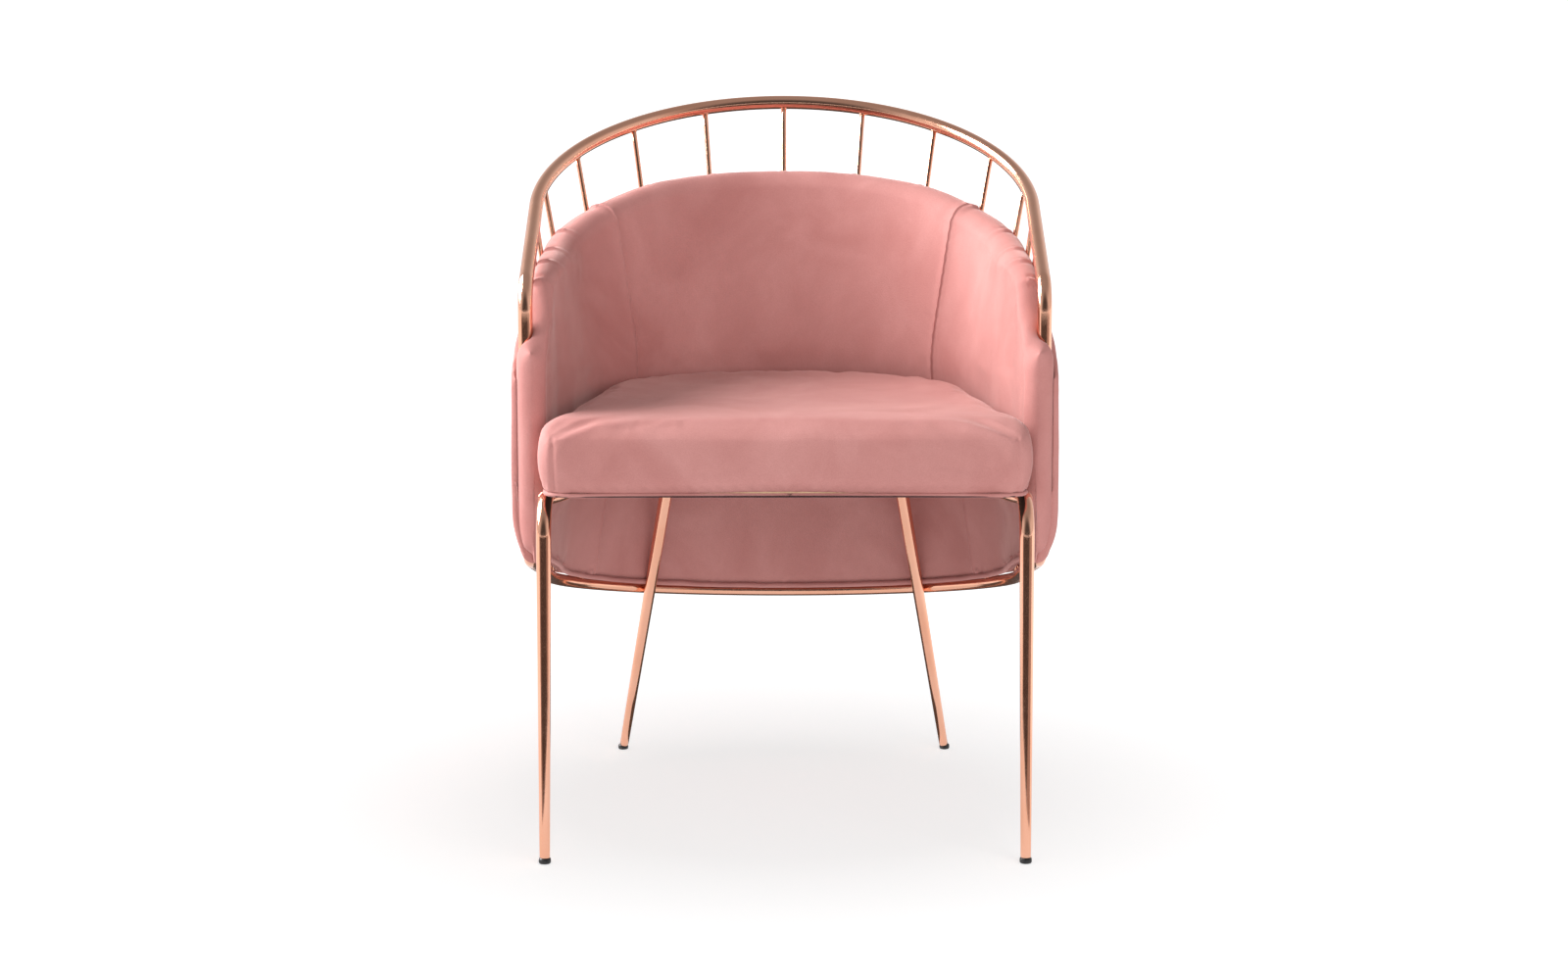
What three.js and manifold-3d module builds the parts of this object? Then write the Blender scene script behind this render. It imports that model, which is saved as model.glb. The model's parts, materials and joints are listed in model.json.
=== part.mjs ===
// Upholstered armchair: a padded shell in a cage of bent metal tube, with a padded seat on four tapered legs.
// Millimetres. X is to the right, Y to the back, Z up. The floor is z = 0 and the chair faces -Y.
import * as THREE from "three";
import { mergeVertices } from "three/addons/utils/BufferGeometryUtils.js";
import Module from "manifold-3d";

const wasm = await Module();
wasm.setup();

const GAP = 0.3; // clearance between pieces that touch
const DEPTH = 560; // front of the seat to the back of the top rail

// Cage: the plan curves are half ellipses at the back that run into straight sides.
const TUBE = 8; // radius of the top rail and its posts
const HOOP_TUBE = 7;
const ROD = 3;
const HALF_WIDTH = 280.5; // posts and sides of the rail, to the tube's centre
const POST_Y = 118; // from the front of the seat
const RAIL = { width: HALF_WIDTH, back: 552, round: 250, top: 792, slope: 0.42 };
const HOOP = { width: 272, back: 522, round: 190, bottom: 202, slope: 0.28 };
const BEND = 38;
const POST_JOINT_Z = 430;
const WAIST_Z = 500;
const WAIST_DEPTH = 62;

// Rods: distance from the middle of the back along the rail.
const ROD_STEPS = [0, 96, 191, 283, 368, 438, 494, 546];

// Shell
const ROD_CLEAR = ROD + 0.5;
const POST_CLEAR = TUBE + 0.6;
const BOARD = 3.5;
const SHELL_FRONT_Y = 88;
const OUTER_FRONT_Y = 97;
const SEAM = ROD_STEPS[3]; // where a pad's side panels are sewn to its middle one
// Height of the shell's upper edge at depths from the seat's front, and how much lower the outer pad and boards end.
const SHELL_TOP = [
  [88, 541],
  [100, 550],
  [118, 567],
  [150, 594],
  [173, 617.5],
  [225, 632.5],
  [281, 640],
  [350, 655.5],
  [435, 679],
  [495, 699],
  [552, 713],
];
const OUTER_LOWER = [
  [118, 36],
  [350, 22],
  [552, 6],
];

// Seat
const SEAT = { half: 262, corner: 24, bottom: 402, edge: 466, crown: 479 };
const SEAT_BOARD = { thick: 12, inset: 14 };
const FRAME_Z = 391.5; // centre of the frame tube under the seat

// Legs
const FRONT_LEG = { foot: [259, 15], knee: [256, 15], bend: 36, rTop: 8, rFoot: 5.7 };
const REAR_LEG = { foot: [198, 535], top: [132, 411], topZ: 383, rTop: 8, rFoot: 5.2 };
const GLIDE = 7; // height of a glide under its leg
const CROSS_BAR = 6;
const STUB = { y: 125, radius: 6 }; // short bars from the seat frame to the posts

const FINISHES = {
  rose_gold: { color: 0xe3a78c, roughness: 0.14, metalness: 1 },
  velvet: { color: 0xc48780, roughness: 0.85, metalness: 0 },
  plywood: { color: 0xc6a272, roughness: 0.6, metalness: 0 },
  glide_rubber: { color: 0x141414, roughness: 0.6, metalness: 0 },
  zinc_steel: { color: 0xb4b8bc, roughness: 0.35, metalness: 1 },
  lining: { color: 0x26262a, roughness: 0.95, metalness: 0 },
};

// The chair's group is placed so that its footprint is centred. Each assembly is a group inside it.
const chair = new THREE.Group();
chair.name = "armchair";
chair.position.y = -DEPTH / 2;
const assemblies = {};
for (const name of ["cage", "shell", "seat", "base"]) {
  assemblies[name] = new THREE.Group();
  assemblies[name].name = name;
  chair.add(assemblies[name]);
}

// ---- small helpers ----

function lerp(a, b, t) {
  return a + (b - a) * t;
}

function smooth(t) {
  const c = Math.min(1, Math.max(0, t));
  return c * c * (3 - 2 * c);
}

// A closed solid from vertices and triangles, turned outside out if its faces point inwards.
function closed(vertices, triangles) {
  const make = (tris) =>
    new wasm.Manifold(
      new wasm.Mesh({
        numProp: 3,
        vertProperties: new Float32Array(vertices.flat()),
        triVerts: new Uint32Array(tris.flat()),
      }),
    );
  const solid = make(triangles);
  return solid.volume() > 0 ? solid : make(triangles.map(([a, b, c]) => [a, c, b]));
}

// Joins rings of equal length into a closed solid with a flat fan at each end.
function loft(rings) {
  const n = rings[0].length;
  const vertices = rings.flat();
  const triangles = [];
  for (let k = 0; k + 1 < rings.length; k++)
    for (let i = 0; i < n; i++) {
      const a = k * n + i;
      const b = k * n + ((i + 1) % n);
      triangles.push([a, b, b + n], [a, b + n, a + n]);
    }
  for (const [k, turned] of [
    [0, true],
    [rings.length - 1, false],
  ]) {
    const centre = [0, 1, 2].map((axis) => rings[k].reduce((sum, p) => sum + p[axis], 0) / n);
    const c = vertices.push(centre) - 1;
    for (let i = 0; i < n; i++) {
      const a = k * n + i;
      const b = k * n + ((i + 1) % n);
      triangles.push(turned ? [b, a, c] : [a, b, c]);
    }
  }
  return closed(vertices, triangles);
}

// A round bar along a path; radius is a number or a function of the fraction of the path.
function bar(path, radius, sides = 12) {
  const points = path.map((p) => new THREE.Vector3(...p));
  const tangents = points.map((p, i) => {
    const before = points[Math.max(0, i - 1)];
    const after = points[Math.min(points.length - 1, i + 1)];
    return after.clone().sub(before).normalize();
  });
  const seed = Math.abs(tangents[0].z) > 0.9 ? new THREE.Vector3(1, 0, 0) : new THREE.Vector3(0, 0, 1);
  let side = seed.clone().cross(tangents[0]).normalize();
  const rings = points.map((p, i) => {
    const t = tangents[i];
    side = side.clone().sub(t.clone().multiplyScalar(side.dot(t))).normalize();
    const up = t.clone().cross(side);
    const r = typeof radius === "number" ? radius : radius(i / (points.length - 1));
    return Array.from({ length: sides }, (_, k) => {
      const angle = (2 * Math.PI * k) / sides;
      const q = p.clone();
      q.addScaledVector(side, r * Math.cos(angle));
      q.addScaledVector(up, r * Math.sin(angle));
      return q.toArray();
    });
  });
  return loft(rings);
}

// Rounds the corners of a polyline with arcs of one radius.
function rounded(corners, radius, steps = 5) {
  const path = [corners[0]];
  for (let i = 1; i + 1 < corners.length; i++) {
    const corner = new THREE.Vector3(...corners[i]);
    const a = new THREE.Vector3(...corners[i - 1]).sub(corner).normalize();
    const b = new THREE.Vector3(...corners[i + 1]).sub(corner).normalize();
    const half = a.angleTo(b) / 2;
    const middle = a.clone().add(b).normalize();
    const centre = corner.clone().addScaledVector(middle, radius / Math.sin(half));
    const from = corner.clone().addScaledVector(a, radius / Math.tan(half)).sub(centre);
    const to = corner.clone().addScaledVector(b, radius / Math.tan(half)).sub(centre);
    const turn = from.angleTo(to);
    for (let k = 0; k <= steps; k++) {
      const t = k / steps;
      const p = centre.clone();
      p.addScaledVector(from, Math.sin((1 - t) * turn) / Math.sin(turn));
      p.addScaledVector(to, Math.sin(t * turn) / Math.sin(turn));
      path.push(p.toArray());
    }
  }
  path.push(corners.at(-1));
  return path;
}

// A three.js geometry as a solid that can be joined and cut.
function solidOf(geometry) {
  geometry.deleteAttribute("normal");
  geometry.deleteAttribute("uv");
  const merged = mergeVertices(geometry, 1e-3);
  const vertProperties = merged.attributes.position.array;
  const triVerts = new Uint32Array(merged.index.array);
  return new wasm.Manifold(new wasm.Mesh({ numProp: 3, vertProperties, triVerts }));
}

// An upright cylinder from z0 to z1.
function cylinder(radius, z0, z1, x = 0, y = 0, sides = 12) {
  const upright = new THREE.CylinderGeometry(radius, radius, z1 - z0, sides).rotateX(Math.PI / 2);
  return solidOf(upright.translate(x, y, (z0 + z1) / 2));
}

function block(size, centre) {
  return solidOf(new THREE.BoxGeometry(...size).translate(...centre));
}

function sum(solids) {
  return solids.reduce((a, b) => a.add(b));
}

// Adds a solid to one of the assemblies as a named piece.
function piece(assembly, name, solid, finish) {
  const made = solid.getMesh();
  const geometry = new THREE.BufferGeometry();
  geometry.setAttribute("position", new THREE.BufferAttribute(made.vertProperties, made.numProp));
  geometry.setIndex(new THREE.BufferAttribute(made.triVerts, 1));
  const mesh = new THREE.Mesh(geometry, new THREE.MeshStandardMaterial(FINISHES[finish]));
  mesh.name = name;
  assemblies[assembly].add(mesh);
}

// ---- cage surface ----

// Point, outward normal and length of half of a plan curve, a distance from the middle of the back.
function planCurve(curve) {
  const centre = curve.back - curve.round;
  const steps = 200;
  const lengths = [0];
  for (let i = 1; i <= steps; i++) {
    const t = (Math.PI / 2) * ((i - 0.5) / steps);
    const ds = Math.hypot(curve.width * Math.cos(t), curve.round * Math.sin(t)) * (Math.PI / 2 / steps);
    lengths.push(lengths[i - 1] + ds);
  }
  const quarter = lengths[steps];
  const at = (distance) => {
    if (distance >= quarter) return { x: curve.width, y: centre - (distance - quarter), nx: 1, ny: 0 };
    const i = lengths.findIndex((l) => l > distance) - 1;
    const part = (distance - lengths[i]) / (lengths[i + 1] - lengths[i]);
    const t = (Math.PI / 2) * ((i + part) / steps);
    const nx = Math.sin(t) / curve.width;
    const ny = Math.cos(t) / curve.round;
    const n = Math.hypot(nx, ny);
    return {
      x: curve.width * Math.sin(t),
      y: centre + curve.round * Math.cos(t),
      nx: nx / n,
      ny: ny / n,
    };
  };
  return { at, length: quarter + centre - POST_Y };
}

const railPlan = planCurve(RAIL);
const hoopPlan = planCurve(HOOP);

function railZ(y) {
  return RAIL.top - RAIL.slope * (RAIL.back - y);
}

function hoopZ(y) {
  return HOOP.bottom + HOOP.slope * (HOOP.back - y);
}

// The hoop runs out to the posts over its front half.
function hoopAt(distance) {
  const p = hoopPlan.at(distance * (hoopPlan.length / railPlan.length));
  const spread = (HALF_WIDTH - HOOP.width) * smooth((300 - p.y) / (300 - POST_Y));
  return { x: p.x + spread, y: p.y };
}

// A point of the cage's curved surface: distance from the middle of the back, and height.
function cage(distance, z) {
  const side = Math.sign(distance) || 1;
  const d = Math.abs(distance);
  const rail = railPlan.at(d);
  const hoop = hoopAt(d);
  const ahead = Math.max(0, railPlan.length - 25 - d) / (railPlan.length - 25);
  const inset = WAIST_DEPTH * Math.sin((Math.PI / 2) * Math.min(1, ahead));
  const waist = { x: rail.x - inset * rail.nx, y: rail.y - inset * rail.ny };
  const top = railZ(rail.y);
  const bottom = hoopZ(hoop.y);
  const end = z > WAIST_Z ? rail : hoop;
  const t = z > WAIST_Z ? (z - WAIST_Z) / (top - WAIST_Z) : (WAIST_Z - z) / (WAIST_Z - bottom);
  const s = Math.pow(Math.min(1, Math.max(0, t)), z > WAIST_Z ? 1.15 : 1.1);
  return {
    x: side * lerp(waist.x, end.x, s),
    y: lerp(waist.y, end.y, s),
    nx: side * rail.nx,
    ny: rail.ny,
    top,
    bottom,
  };
}

function offset(distance, z, out) {
  const p = cage(distance, z);
  return [p.x + out * p.nx, p.y + out * p.ny, z];
}

// ---- metal cage ----

function topRail() {
  const side = [];
  for (let k = 1; k <= 13; k++) {
    const p = railPlan.at((k / 13) * (railPlan.length - 20));
    side.push([p.x, p.y, railZ(p.y)]);
  }
  const corner = [HALF_WIDTH, POST_Y, railZ(POST_Y)];
  const foot = [HALF_WIDTH, POST_Y, POST_JOINT_Z + GAP];
  const bend = rounded([side.at(-2), corner, foot], BEND);
  const right = [...side.slice(0, -2), ...bend];
  const left = right.map(([x, y, z]) => [-x, y, z]).reverse();
  piece("cage", "top_rail", bar([...left, [0, RAIL.back, RAIL.top], ...right], TUBE), "rose_gold");
}

function bottomHoop() {
  const side = [];
  for (let k = 1; k <= 11; k++) {
    const p = hoopAt((k / 11) * (railPlan.length - 20));
    side.push([p.x, p.y, hoopZ(p.y)]);
  }
  const corner = [HALF_WIDTH, POST_Y, hoopZ(POST_Y)];
  const joint = [HALF_WIDTH, POST_Y, POST_JOINT_Z];
  const bend = rounded([side.at(-2), corner, joint], BEND);
  const right = [...side.slice(0, -2), ...bend];
  const left = right.map(([x, y, z]) => [-x, y, z]).reverse();
  piece("cage", "bottom_hoop", bar([...left, [0, HOOP.back, HOOP.bottom], ...right], HOOP_TUBE), "rose_gold");
}

function rods() {
  ROD_STEPS.forEach((distance, i) => {
    const sides = i === 0 ? [1] : [-1, 1];
    for (const side of sides) {
      const p = cage(side * distance, WAIST_Z);
      const low = p.bottom + HOOP_TUBE + 2;
      const high = p.top - TUBE - 3;
      const heights = SHELL_LEVELS.map((v) => shellZ(distance, v)).filter((z) => z > low + 5 && z < high - 5);
      const path = [low, ...heights, high].map((z) => offset(side * distance, z, 0));
      const name = i === 0 ? "cage_rod_centre" : `cage_rod_${side < 0 ? "left" : "right"}_${i}`;
      piece("cage", name, bar(path, ROD, 6), "rose_gold");
    }
  });
}

// ---- shell ----

const SHELL_LEVELS = [0, 0.06, 0.2, 0.36, 0.52, 0.68, 0.84, 0.95, 1];

// How far forward a distance along the rail reaches, its straight side carried on past the post.
function planY(d) {
  return d > railPlan.length - 30 ? POST_Y + railPlan.length - d : railPlan.at(d).y;
}

// Linear interpolation in a list of [depth, value] pairs.
function between(pairs, y) {
  const i = Math.max(1, pairs.findIndex(([depth]) => depth >= y));
  const [a, b] = [pairs[i - 1], pairs[i]];
  return lerp(a[1], b[1], Math.min(1, Math.max(0, (y - a[0]) / (b[0] - a[0]))));
}

// Height on the shell: v is 0 along its lower edge, which follows the hoop, and 1 along its upper edge.
// lower is 1 for the outer pad and the boards, whose upper edges stay below the inner pad's.
function shellZ(distance, v, lower = 0) {
  const d = Math.abs(distance);
  const y = planY(d);
  const low = cage(d, WAIST_Z).bottom + HOOP_TUBE + 1.5 - 9 * smooth((109 - y) / 6);
  const high = between(SHELL_TOP, y);
  return lerp(low, high, v) - lower * between(OUTER_LOWER, y) * smooth((v - 0.76) / 0.24);
}

// Distances from the middle of the back for one side: at each rod, half way between, and round the front edge.
function stations(frontY, extra) {
  const list = [0];
  ROD_STEPS.slice(1).forEach((d, i) => list.push((d + ROD_STEPS[i]) / 2, d));
  for (const y of [...extra, frontY]) list.push(railPlan.length + POST_Y - y);
  return list;
}

// The stations of both sides, from left to right.
function mirrored(list) {
  return [...list.slice(1).reverse().map((d) => -d), ...list];
}

// The stations of a pad's three panels, which meet at the seams.
function panels(list) {
  const side = [SEAM + GAP / 2, ...list.filter((d) => d > SEAM)];
  const middle = [...list.filter((d) => d < SEAM), SEAM - GAP / 2];
  return { left: side.map((d) => -d).reverse(), centre: mirrored(middle), right: side };
}

// A curved slab that follows the cage. inner(d, v) and outer(d, v) give its two faces as offsets from the cage,
// and the levels are heights on the shell.
function slab(both, levels, inner, outer, lower = 0) {
  const n = both.length;
  const rings = levels.map((v) => {
    const face = (offsetOf) => (d) => {
      const z = shellZ(d, v, lower);
      return offset(d, z, offsetOf(Math.abs(d), v, z));
    };
    return [...both.map(face(inner)), ...both.map(face(outer)).reverse()];
  });
  const vertices = rings.flat();
  const triangles = [];
  const m = 2 * n;
  for (let k = 0; k + 1 < rings.length; k++)
    for (let i = 0; i < m; i++) {
      const a = k * m + i;
      const b = k * m + ((i + 1) % m);
      if (i < n) triangles.push([a, b, b + m], [a, b + m, a + m]);
      else triangles.push([a, b, a + m], [b, b + m, a + m]);
    }
  const lid = (k, turned) => {
    for (let i = 0; i + 1 < n; i++) {
      const a = k * m + i;
      const c = k * m + m - 1 - i;
      const quad = [
        [a, a + 1, c - 1],
        [a, c - 1, c],
      ];
      triangles.push(...quad.map(([p, q, r]) => (turned ? [p, r, q] : [p, q, r])));
    }
  };
  lid(0, true);
  lid(rings.length - 1, false);
  return closed(vertices, triangles);
}

// Share of full thickness near the slab's upper and lower edges.
function edgeRound(v, amount) {
  const edge = Math.min(v, 1 - v) / 0.08;
  return 1 - amount * Math.pow(Math.max(0, 1 - edge), 2);
}

function clearance(d) {
  return lerp(ROD_CLEAR, POST_CLEAR, smooth((d - railPlan.length + 60) / 40));
}

// Rounds the front end of a pad: 0 at its tip, 1 where it is fully thick.
function nose(d, tipY, length) {
  const e = Math.min(1, Math.max(0, (planY(d) - tipY) / length));
  return Math.sqrt(Math.max(0.01, 1 - (1 - e) * (1 - e)));
}

const BOARD_FRONT_Y = POST_Y + 26;
const ROLL_BACK_Y = POST_Y - TUBE - 0.8;

function hasBoard(d) {
  return planY(d) > BOARD_FRONT_Y - 1.5;
}

// The inner pad's panels are full above the seat and thin below it, and their front edges wrap round the posts.
function innerPanels() {
  const thickness = (d, z) => {
    const full = lerp(31, 22, smooth((d - railPlan.length + 120) / 110));
    const thin = lerp(9, 6, smooth((d - railPlan.length + 200) / 150));
    return lerp(thin, full, smooth((z - 340) / 65));
  };
  const inner = (d, v, z) => {
    const start = clearance(d) + BOARD + GAP;
    const full = start + thickness(d, z) * edgeRound(v, 0.6);
    return -lerp(start, full, nose(d, SHELL_FRONT_Y, ROLL_BACK_Y - SHELL_FRONT_Y));
  };
  const outer = (d, v) => {
    if (planY(d) > ROLL_BACK_Y) return -(clearance(d) + (hasBoard(d) ? BOARD + GAP : 0));
    return lerp(-7, POST_CLEAR - 0.9, nose(d, SHELL_FRONT_Y, ROLL_BACK_Y - SHELL_FRONT_Y)) * edgeRound(v, 0.4);
  };
  const step = [ROLL_BACK_Y + 0.1, ROLL_BACK_Y - 0.1];
  const front = [BOARD_FRONT_Y - 1, BOARD_FRONT_Y - 2, POST_Y, ...step, 100, 93, 89.5];
  const parts = Object.entries(panels(stations(SHELL_FRONT_Y, front)));
  return parts.map(([name, both]) => [name, slab(both, SHELL_LEVELS, inner, outer)]);
}

function outerPanels() {
  const inner = (d) => clearance(d) + (hasBoard(d) ? BOARD + GAP : 0);
  const outer = (d, v) => {
    const full = lerp(15, 10.2, smooth((d - railPlan.length + 120) / 90)) * edgeRound(v, 0.75);
    const skin = hasBoard(d) ? BOARD : 0;
    return inner(d) + Math.max(1, full * nose(d, OUTER_FRONT_Y, 12) - skin);
  };
  const front = [BOARD_FRONT_Y - 1, BOARD_FRONT_Y - 2, POST_Y, 107, 101];
  const parts = Object.entries(panels(stations(OUTER_FRONT_Y, front)));
  return parts.map(([name, both]) => [name, slab(both, SHELL_LEVELS, inner, outer, 1)]);
}

// A thin moulded board against the rods, on their inner side (-1) or their outer side (1).
function shellBoard(side) {
  const near = (d) => side * clearance(d);
  const far = (d) => side * (clearance(d) + BOARD);
  const faces = side < 0 ? [far, near] : [near, far];
  return slab(mirrored(stations(BOARD_FRONT_Y, [])), SHELL_LEVELS.slice(1, -1), ...faces, 1);
}

// A pin along the shell's thickness between two rods, from one offset from the cage to another.
function pin(distance, z, from, to, radius) {
  const p = cage(distance, z);
  const along = new THREE.CylinderGeometry(radius, radius, to - from, 10).rotateZ(-Math.PI / 2);
  along.translate((from + to) / 2, 0, 0).rotateZ(Math.atan2(p.ny, p.nx));
  return solidOf(along.translate(p.x, p.y, z));
}

// Screws that join the two boards, each half way between two rods.
const SCREW_Z = 430;
const SCREWS = [0, 2, 4].flatMap((rod, i) =>
  [-1, 1].map((side) => ({
    name: `shell_screw_${side < 0 ? "left" : "right"}_${i + 1}`,
    distance: (side * (ROD_STEPS[rod] + ROD_STEPS[rod + 1])) / 2,
  })),
);

function shellPieces() {
  const face = ROD_CLEAR + BOARD;
  const holes = sum(SCREWS.map(({ distance }) => pin(distance, SCREW_Z, -face - 4, face + 4, 2.9)));
  const heads = sum(SCREWS.map(({ distance }) => pin(distance, SCREW_Z, face - 1, face + 5.5, 6)));
  const reach = [HALF_WIDTH - 60, HALF_WIDTH - TUBE - GAP];
  const stubs = [-1, 1].map((side) => {
    const ends = reach.map((x) => [side * x, STUB.y, FRAME_Z]);
    return bar(ends, STUB.radius + 0.6);
  });
  for (const [name, solid] of innerPanels())
    piece("shell", `shell_inner_pad_${name}`, solid.subtract(sum(stubs)), "velvet");
  for (const [name, solid] of outerPanels())
    piece("shell", `shell_outer_pad_${name}`, solid.subtract(heads), "velvet");
  piece("shell", "shell_inner_board", shellBoard(-1).subtract(holes), "plywood");
  piece("shell", "shell_outer_board", shellBoard(1).subtract(holes), "plywood");
  SCREWS.forEach(({ name, distance }) => {
    const shank = pin(distance, SCREW_Z, -face + 0.4, face + 1.5, 2.5);
    const head = pin(distance, SCREW_Z, face + GAP + 0.5, face + 3, 5);
    piece("shell", name, shank.add(head), "zinc_steel");
  });
}

// ---- seat ----

// Half outline of the seat in plan, front corner to the middle of the back, as [x, y] pairs.
function seatHalf(inset) {
  const corner = SEAT.corner;
  const points = [[SEAT.half - corner - 40, 0], [SEAT.half - corner, 1]];
  for (let k = 1; k <= 4; k++) {
    const angle = (Math.PI / 2) * (k / 4);
    const x = SEAT.half - corner + corner * Math.sin(angle);
    points.push([x, 1 + corner * (1 - Math.cos(angle))]);
  }
  points.push([SEAT.half, 58], [SEAT.half - 3, 72], [SEAT.half - 11, 86], [SEAT.half - 16, 100]);
  const shellFace = 31 + ROD_CLEAR + BOARD + GAP + 1.5;
  for (let k = 1; k <= 9; k++) {
    const p = offset(railPlan.length * (1 - k / 9), WAIST_Z, -shellFace);
    points.push([p[0], p[1]]);
  }
  const centre = 225;
  return points.map(([x, y]) => {
    const reach = Math.hypot(x, y - centre);
    const k = 1 - inset / reach;
    return [x * k, centre + (y - centre) * k];
  });
}

// One level of the seat's outline. rise lifts it along the sides and back, where the shell holds it up.
function seatRing(inset, z, rise = 0) {
  const right = seatHalf(inset).map(([x, y]) => [x, y, z + rise * smooth((y - 30) / 90)]);
  const left = right.slice(0, -1).reverse();
  return [...right, ...left.map(([x, y, height]) => [-x, y, height])];
}

function seatPieces() {
  const { bottom, edge, crown } = SEAT;
  const rings = [
    [7, bottom, 0],
    [1.5, bottom + 5, 0],
    [0, bottom + 16, 0],
    [0, edge - 16, 6],
    [2, edge - 6, 9],
    [7, edge, 10],
    [26, edge + 6, 6],
    [70, crown - 3, 2],
    [140, crown, 0],
  ];
  const cushion = loft(rings.map(([inset, z, rise]) => seatRing(inset, z, rise)));
  const boardTop = bottom + SEAT_BOARD.thick;
  const layer = (inset, z0, z1) => loft([seatRing(inset, z0), seatRing(inset, z1)]);
  const recess = layer(SEAT_BOARD.inset - 0.5, bottom - 5, boardTop + 1.6);
  const board = layer(SEAT_BOARD.inset, bottom, boardTop);
  const lining = layer(SEAT_BOARD.inset - 6, bottom - 1.3, bottom - 0.4);
  const holes = (radius, from) => sum(BOLTS.map(([x, y]) => cylinder(radius, from, bottom + 30, x, y)));
  const bored = board.subtract(holes(4.6, bottom - 20)).subtract(holes(10, boardTop - 1.6));
  piece("seat", "seat_cushion", cushion.subtract(recess), "velvet");
  piece("seat", "seat_board", bored, "plywood");
  piece("seat", "seat_dust_cover", lining.subtract(holes(7, bottom - 20)), "lining");
}

// ---- seat frame and legs ----

// Centre line of the frame tube under the seat, as [x, y] for the right half, front to back.
const FRAME_SIDE = [
  [FRONT_LEG.knee[0], 53],
  [FRONT_LEG.knee[0] - 0.5, 59],
  [243, 84],
  [231, 120],
  [215, 190],
  [190, 270],
  [158, 350],
  [REAR_LEG.top[0], REAR_LEG.top[1]],
  [62, 431],
];

function frameCurve() {
  const right = FRAME_SIDE.map(([x, y]) => new THREE.Vector3(x, y, FRAME_Z));
  const left = right.map((p) => new THREE.Vector3(-p.x, p.y, p.z));
  const middle = new THREE.Vector3(0, 437, FRAME_Z);
  return new THREE.CatmullRomCurve3([...left, middle, ...right.reverse()]);
}

function sideX(y) {
  const i = FRAME_SIDE.findIndex(([, b]) => b >= y);
  const [x0, y0] = FRAME_SIDE[i - 1];
  const [x1, y1] = FRAME_SIDE[i];
  return lerp(x0, x1, (y - y0) / (y1 - y0));
}

const CROSS_BARS = { front: 128, rear: 318 };
const TAB_Y = { front: 178, rear: 262 };
const BOLTS = Object.values(TAB_Y).flatMap((y) => {
  const x = sideX(y) - TUBE - 16;
  return [[-x, y], [x, y]];
});

function seatFrame() {
  const path = frameCurve().getPoints(32).map((p) => p.toArray());
  piece("base", "seat_frame", bar(path, TUBE), "rose_gold");
  for (const [name, y] of Object.entries(CROSS_BARS)) {
    const reach = sideX(y) - TUBE - 2.7;
    const ends = [[-reach, y, FRAME_Z], [reach, y, FRAME_Z]];
    piece("base", `cross_bar_${name}`, bar(ends, CROSS_BAR), "rose_gold");
  }
  for (const side of [-1, 1]) {
    const reach = [sideX(STUB.y) + TUBE + 2.5, HALF_WIDTH - TUBE - 2];
    const ends = reach.map((x) => [side * x, STUB.y, FRAME_Z]);
    piece("base", `frame_stub_${side < 0 ? "left" : "right"}`, bar(ends, STUB.radius), "rose_gold");
  }
}

function seatFixings() {
  BOLTS.forEach(([x, y]) => {
    const name = `${y === TAB_Y.front ? "front" : "rear"}_${x < 0 ? "left" : "right"}`;
    const top = SEAT.bottom - 1.3 - GAP;
    const plate = block([26, 30, 3], [x, y, top - 1.5]);
    piece("base", `seat_tab_${name}`, plate.subtract(cylinder(3.6, 380, 410, x, y)), "rose_gold");
    const head = cylinder(5.4, top - 3 - GAP - 4, top - 3 - GAP, x, y, 6);
    piece("seat", `seat_bolt_${name}`, head.add(cylinder(3, top - 5, SEAT.bottom + 9, x, y)), "zinc_steel");
    const boardTop = SEAT.bottom + SEAT_BOARD.thick;
    const flange = cylinder(9, boardTop - 1.2, boardTop, x, y);
    const barrel = cylinder(4.2, SEAT.bottom + 2, boardTop, x, y);
    const bore = cylinder(3.3, SEAT.bottom - 20, boardTop + 5, x, y);
    piece("seat", `tee_nut_${name}`, flange.add(barrel).subtract(bore), "zinc_steel");
  });
}

function glide(name, x, y, radius) {
  const foot = cylinder(radius + 1, 0, GLIDE - GAP, x, y);
  piece("base", `glide_${name}`, foot.add(cylinder(radius - 2, 1, GLIDE + 12, x, y)), "glide_rubber");
}

// Cuts the leg flat above its glide and bores it for the glide's stem.
function footed(leg, x, y, radius) {
  const floor = block([60, 60, 40], [x, y, GLIDE - 20]);
  return leg.subtract(floor).subtract(cylinder(radius - 1.6, 0, GLIDE + 14, x, y));
}

function legs() {
  const f = FRONT_LEG;
  const r = REAR_LEG;
  for (const side of [-1, 1]) {
    const word = side < 0 ? "left" : "right";
    const corner = [side * f.knee[0], f.knee[1], FRAME_Z];
    const end = [side * f.knee[0], FRAME_SIDE[0][1] - 1 - GAP, FRAME_Z];
    const path = rounded([[side * f.foot[0], f.foot[1], 0], corner, end], f.bend, 6);
    const straight = path.length - 1;
    const radius = (t) => (t * straight >= 1 ? f.rTop : lerp(f.rFoot, f.rTop, t * straight));
    const front = footed(bar(path, radius), side * f.foot[0], f.foot[1], f.rFoot);
    piece("base", `front_leg_${word}`, front, "rose_gold");
    glide(`front_${word}`, side * f.foot[0], f.foot[1], f.rFoot);
    const line = [[side * r.foot[0], r.foot[1], 0], [side * r.top[0], r.top[1], r.topZ]];
    const rear = bar(line, (t) => lerp(r.rFoot, r.rTop, t));
    const level = block([60, 60, 40], [side * r.top[0], r.top[1], r.topZ + 17]);
    const shaped = footed(rear, line[0][0], line[0][1], r.rFoot).subtract(level);
    piece("base", `rear_leg_${word}`, shaped, "rose_gold");
    glide(`rear_${word}`, line[0][0], line[0][1], r.rFoot);
  }
}

topRail();
bottomHoop();
rods();
shellPieces();
seatPieces();
seatFrame();
seatFixings();
legs();

export default chair;
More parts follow.
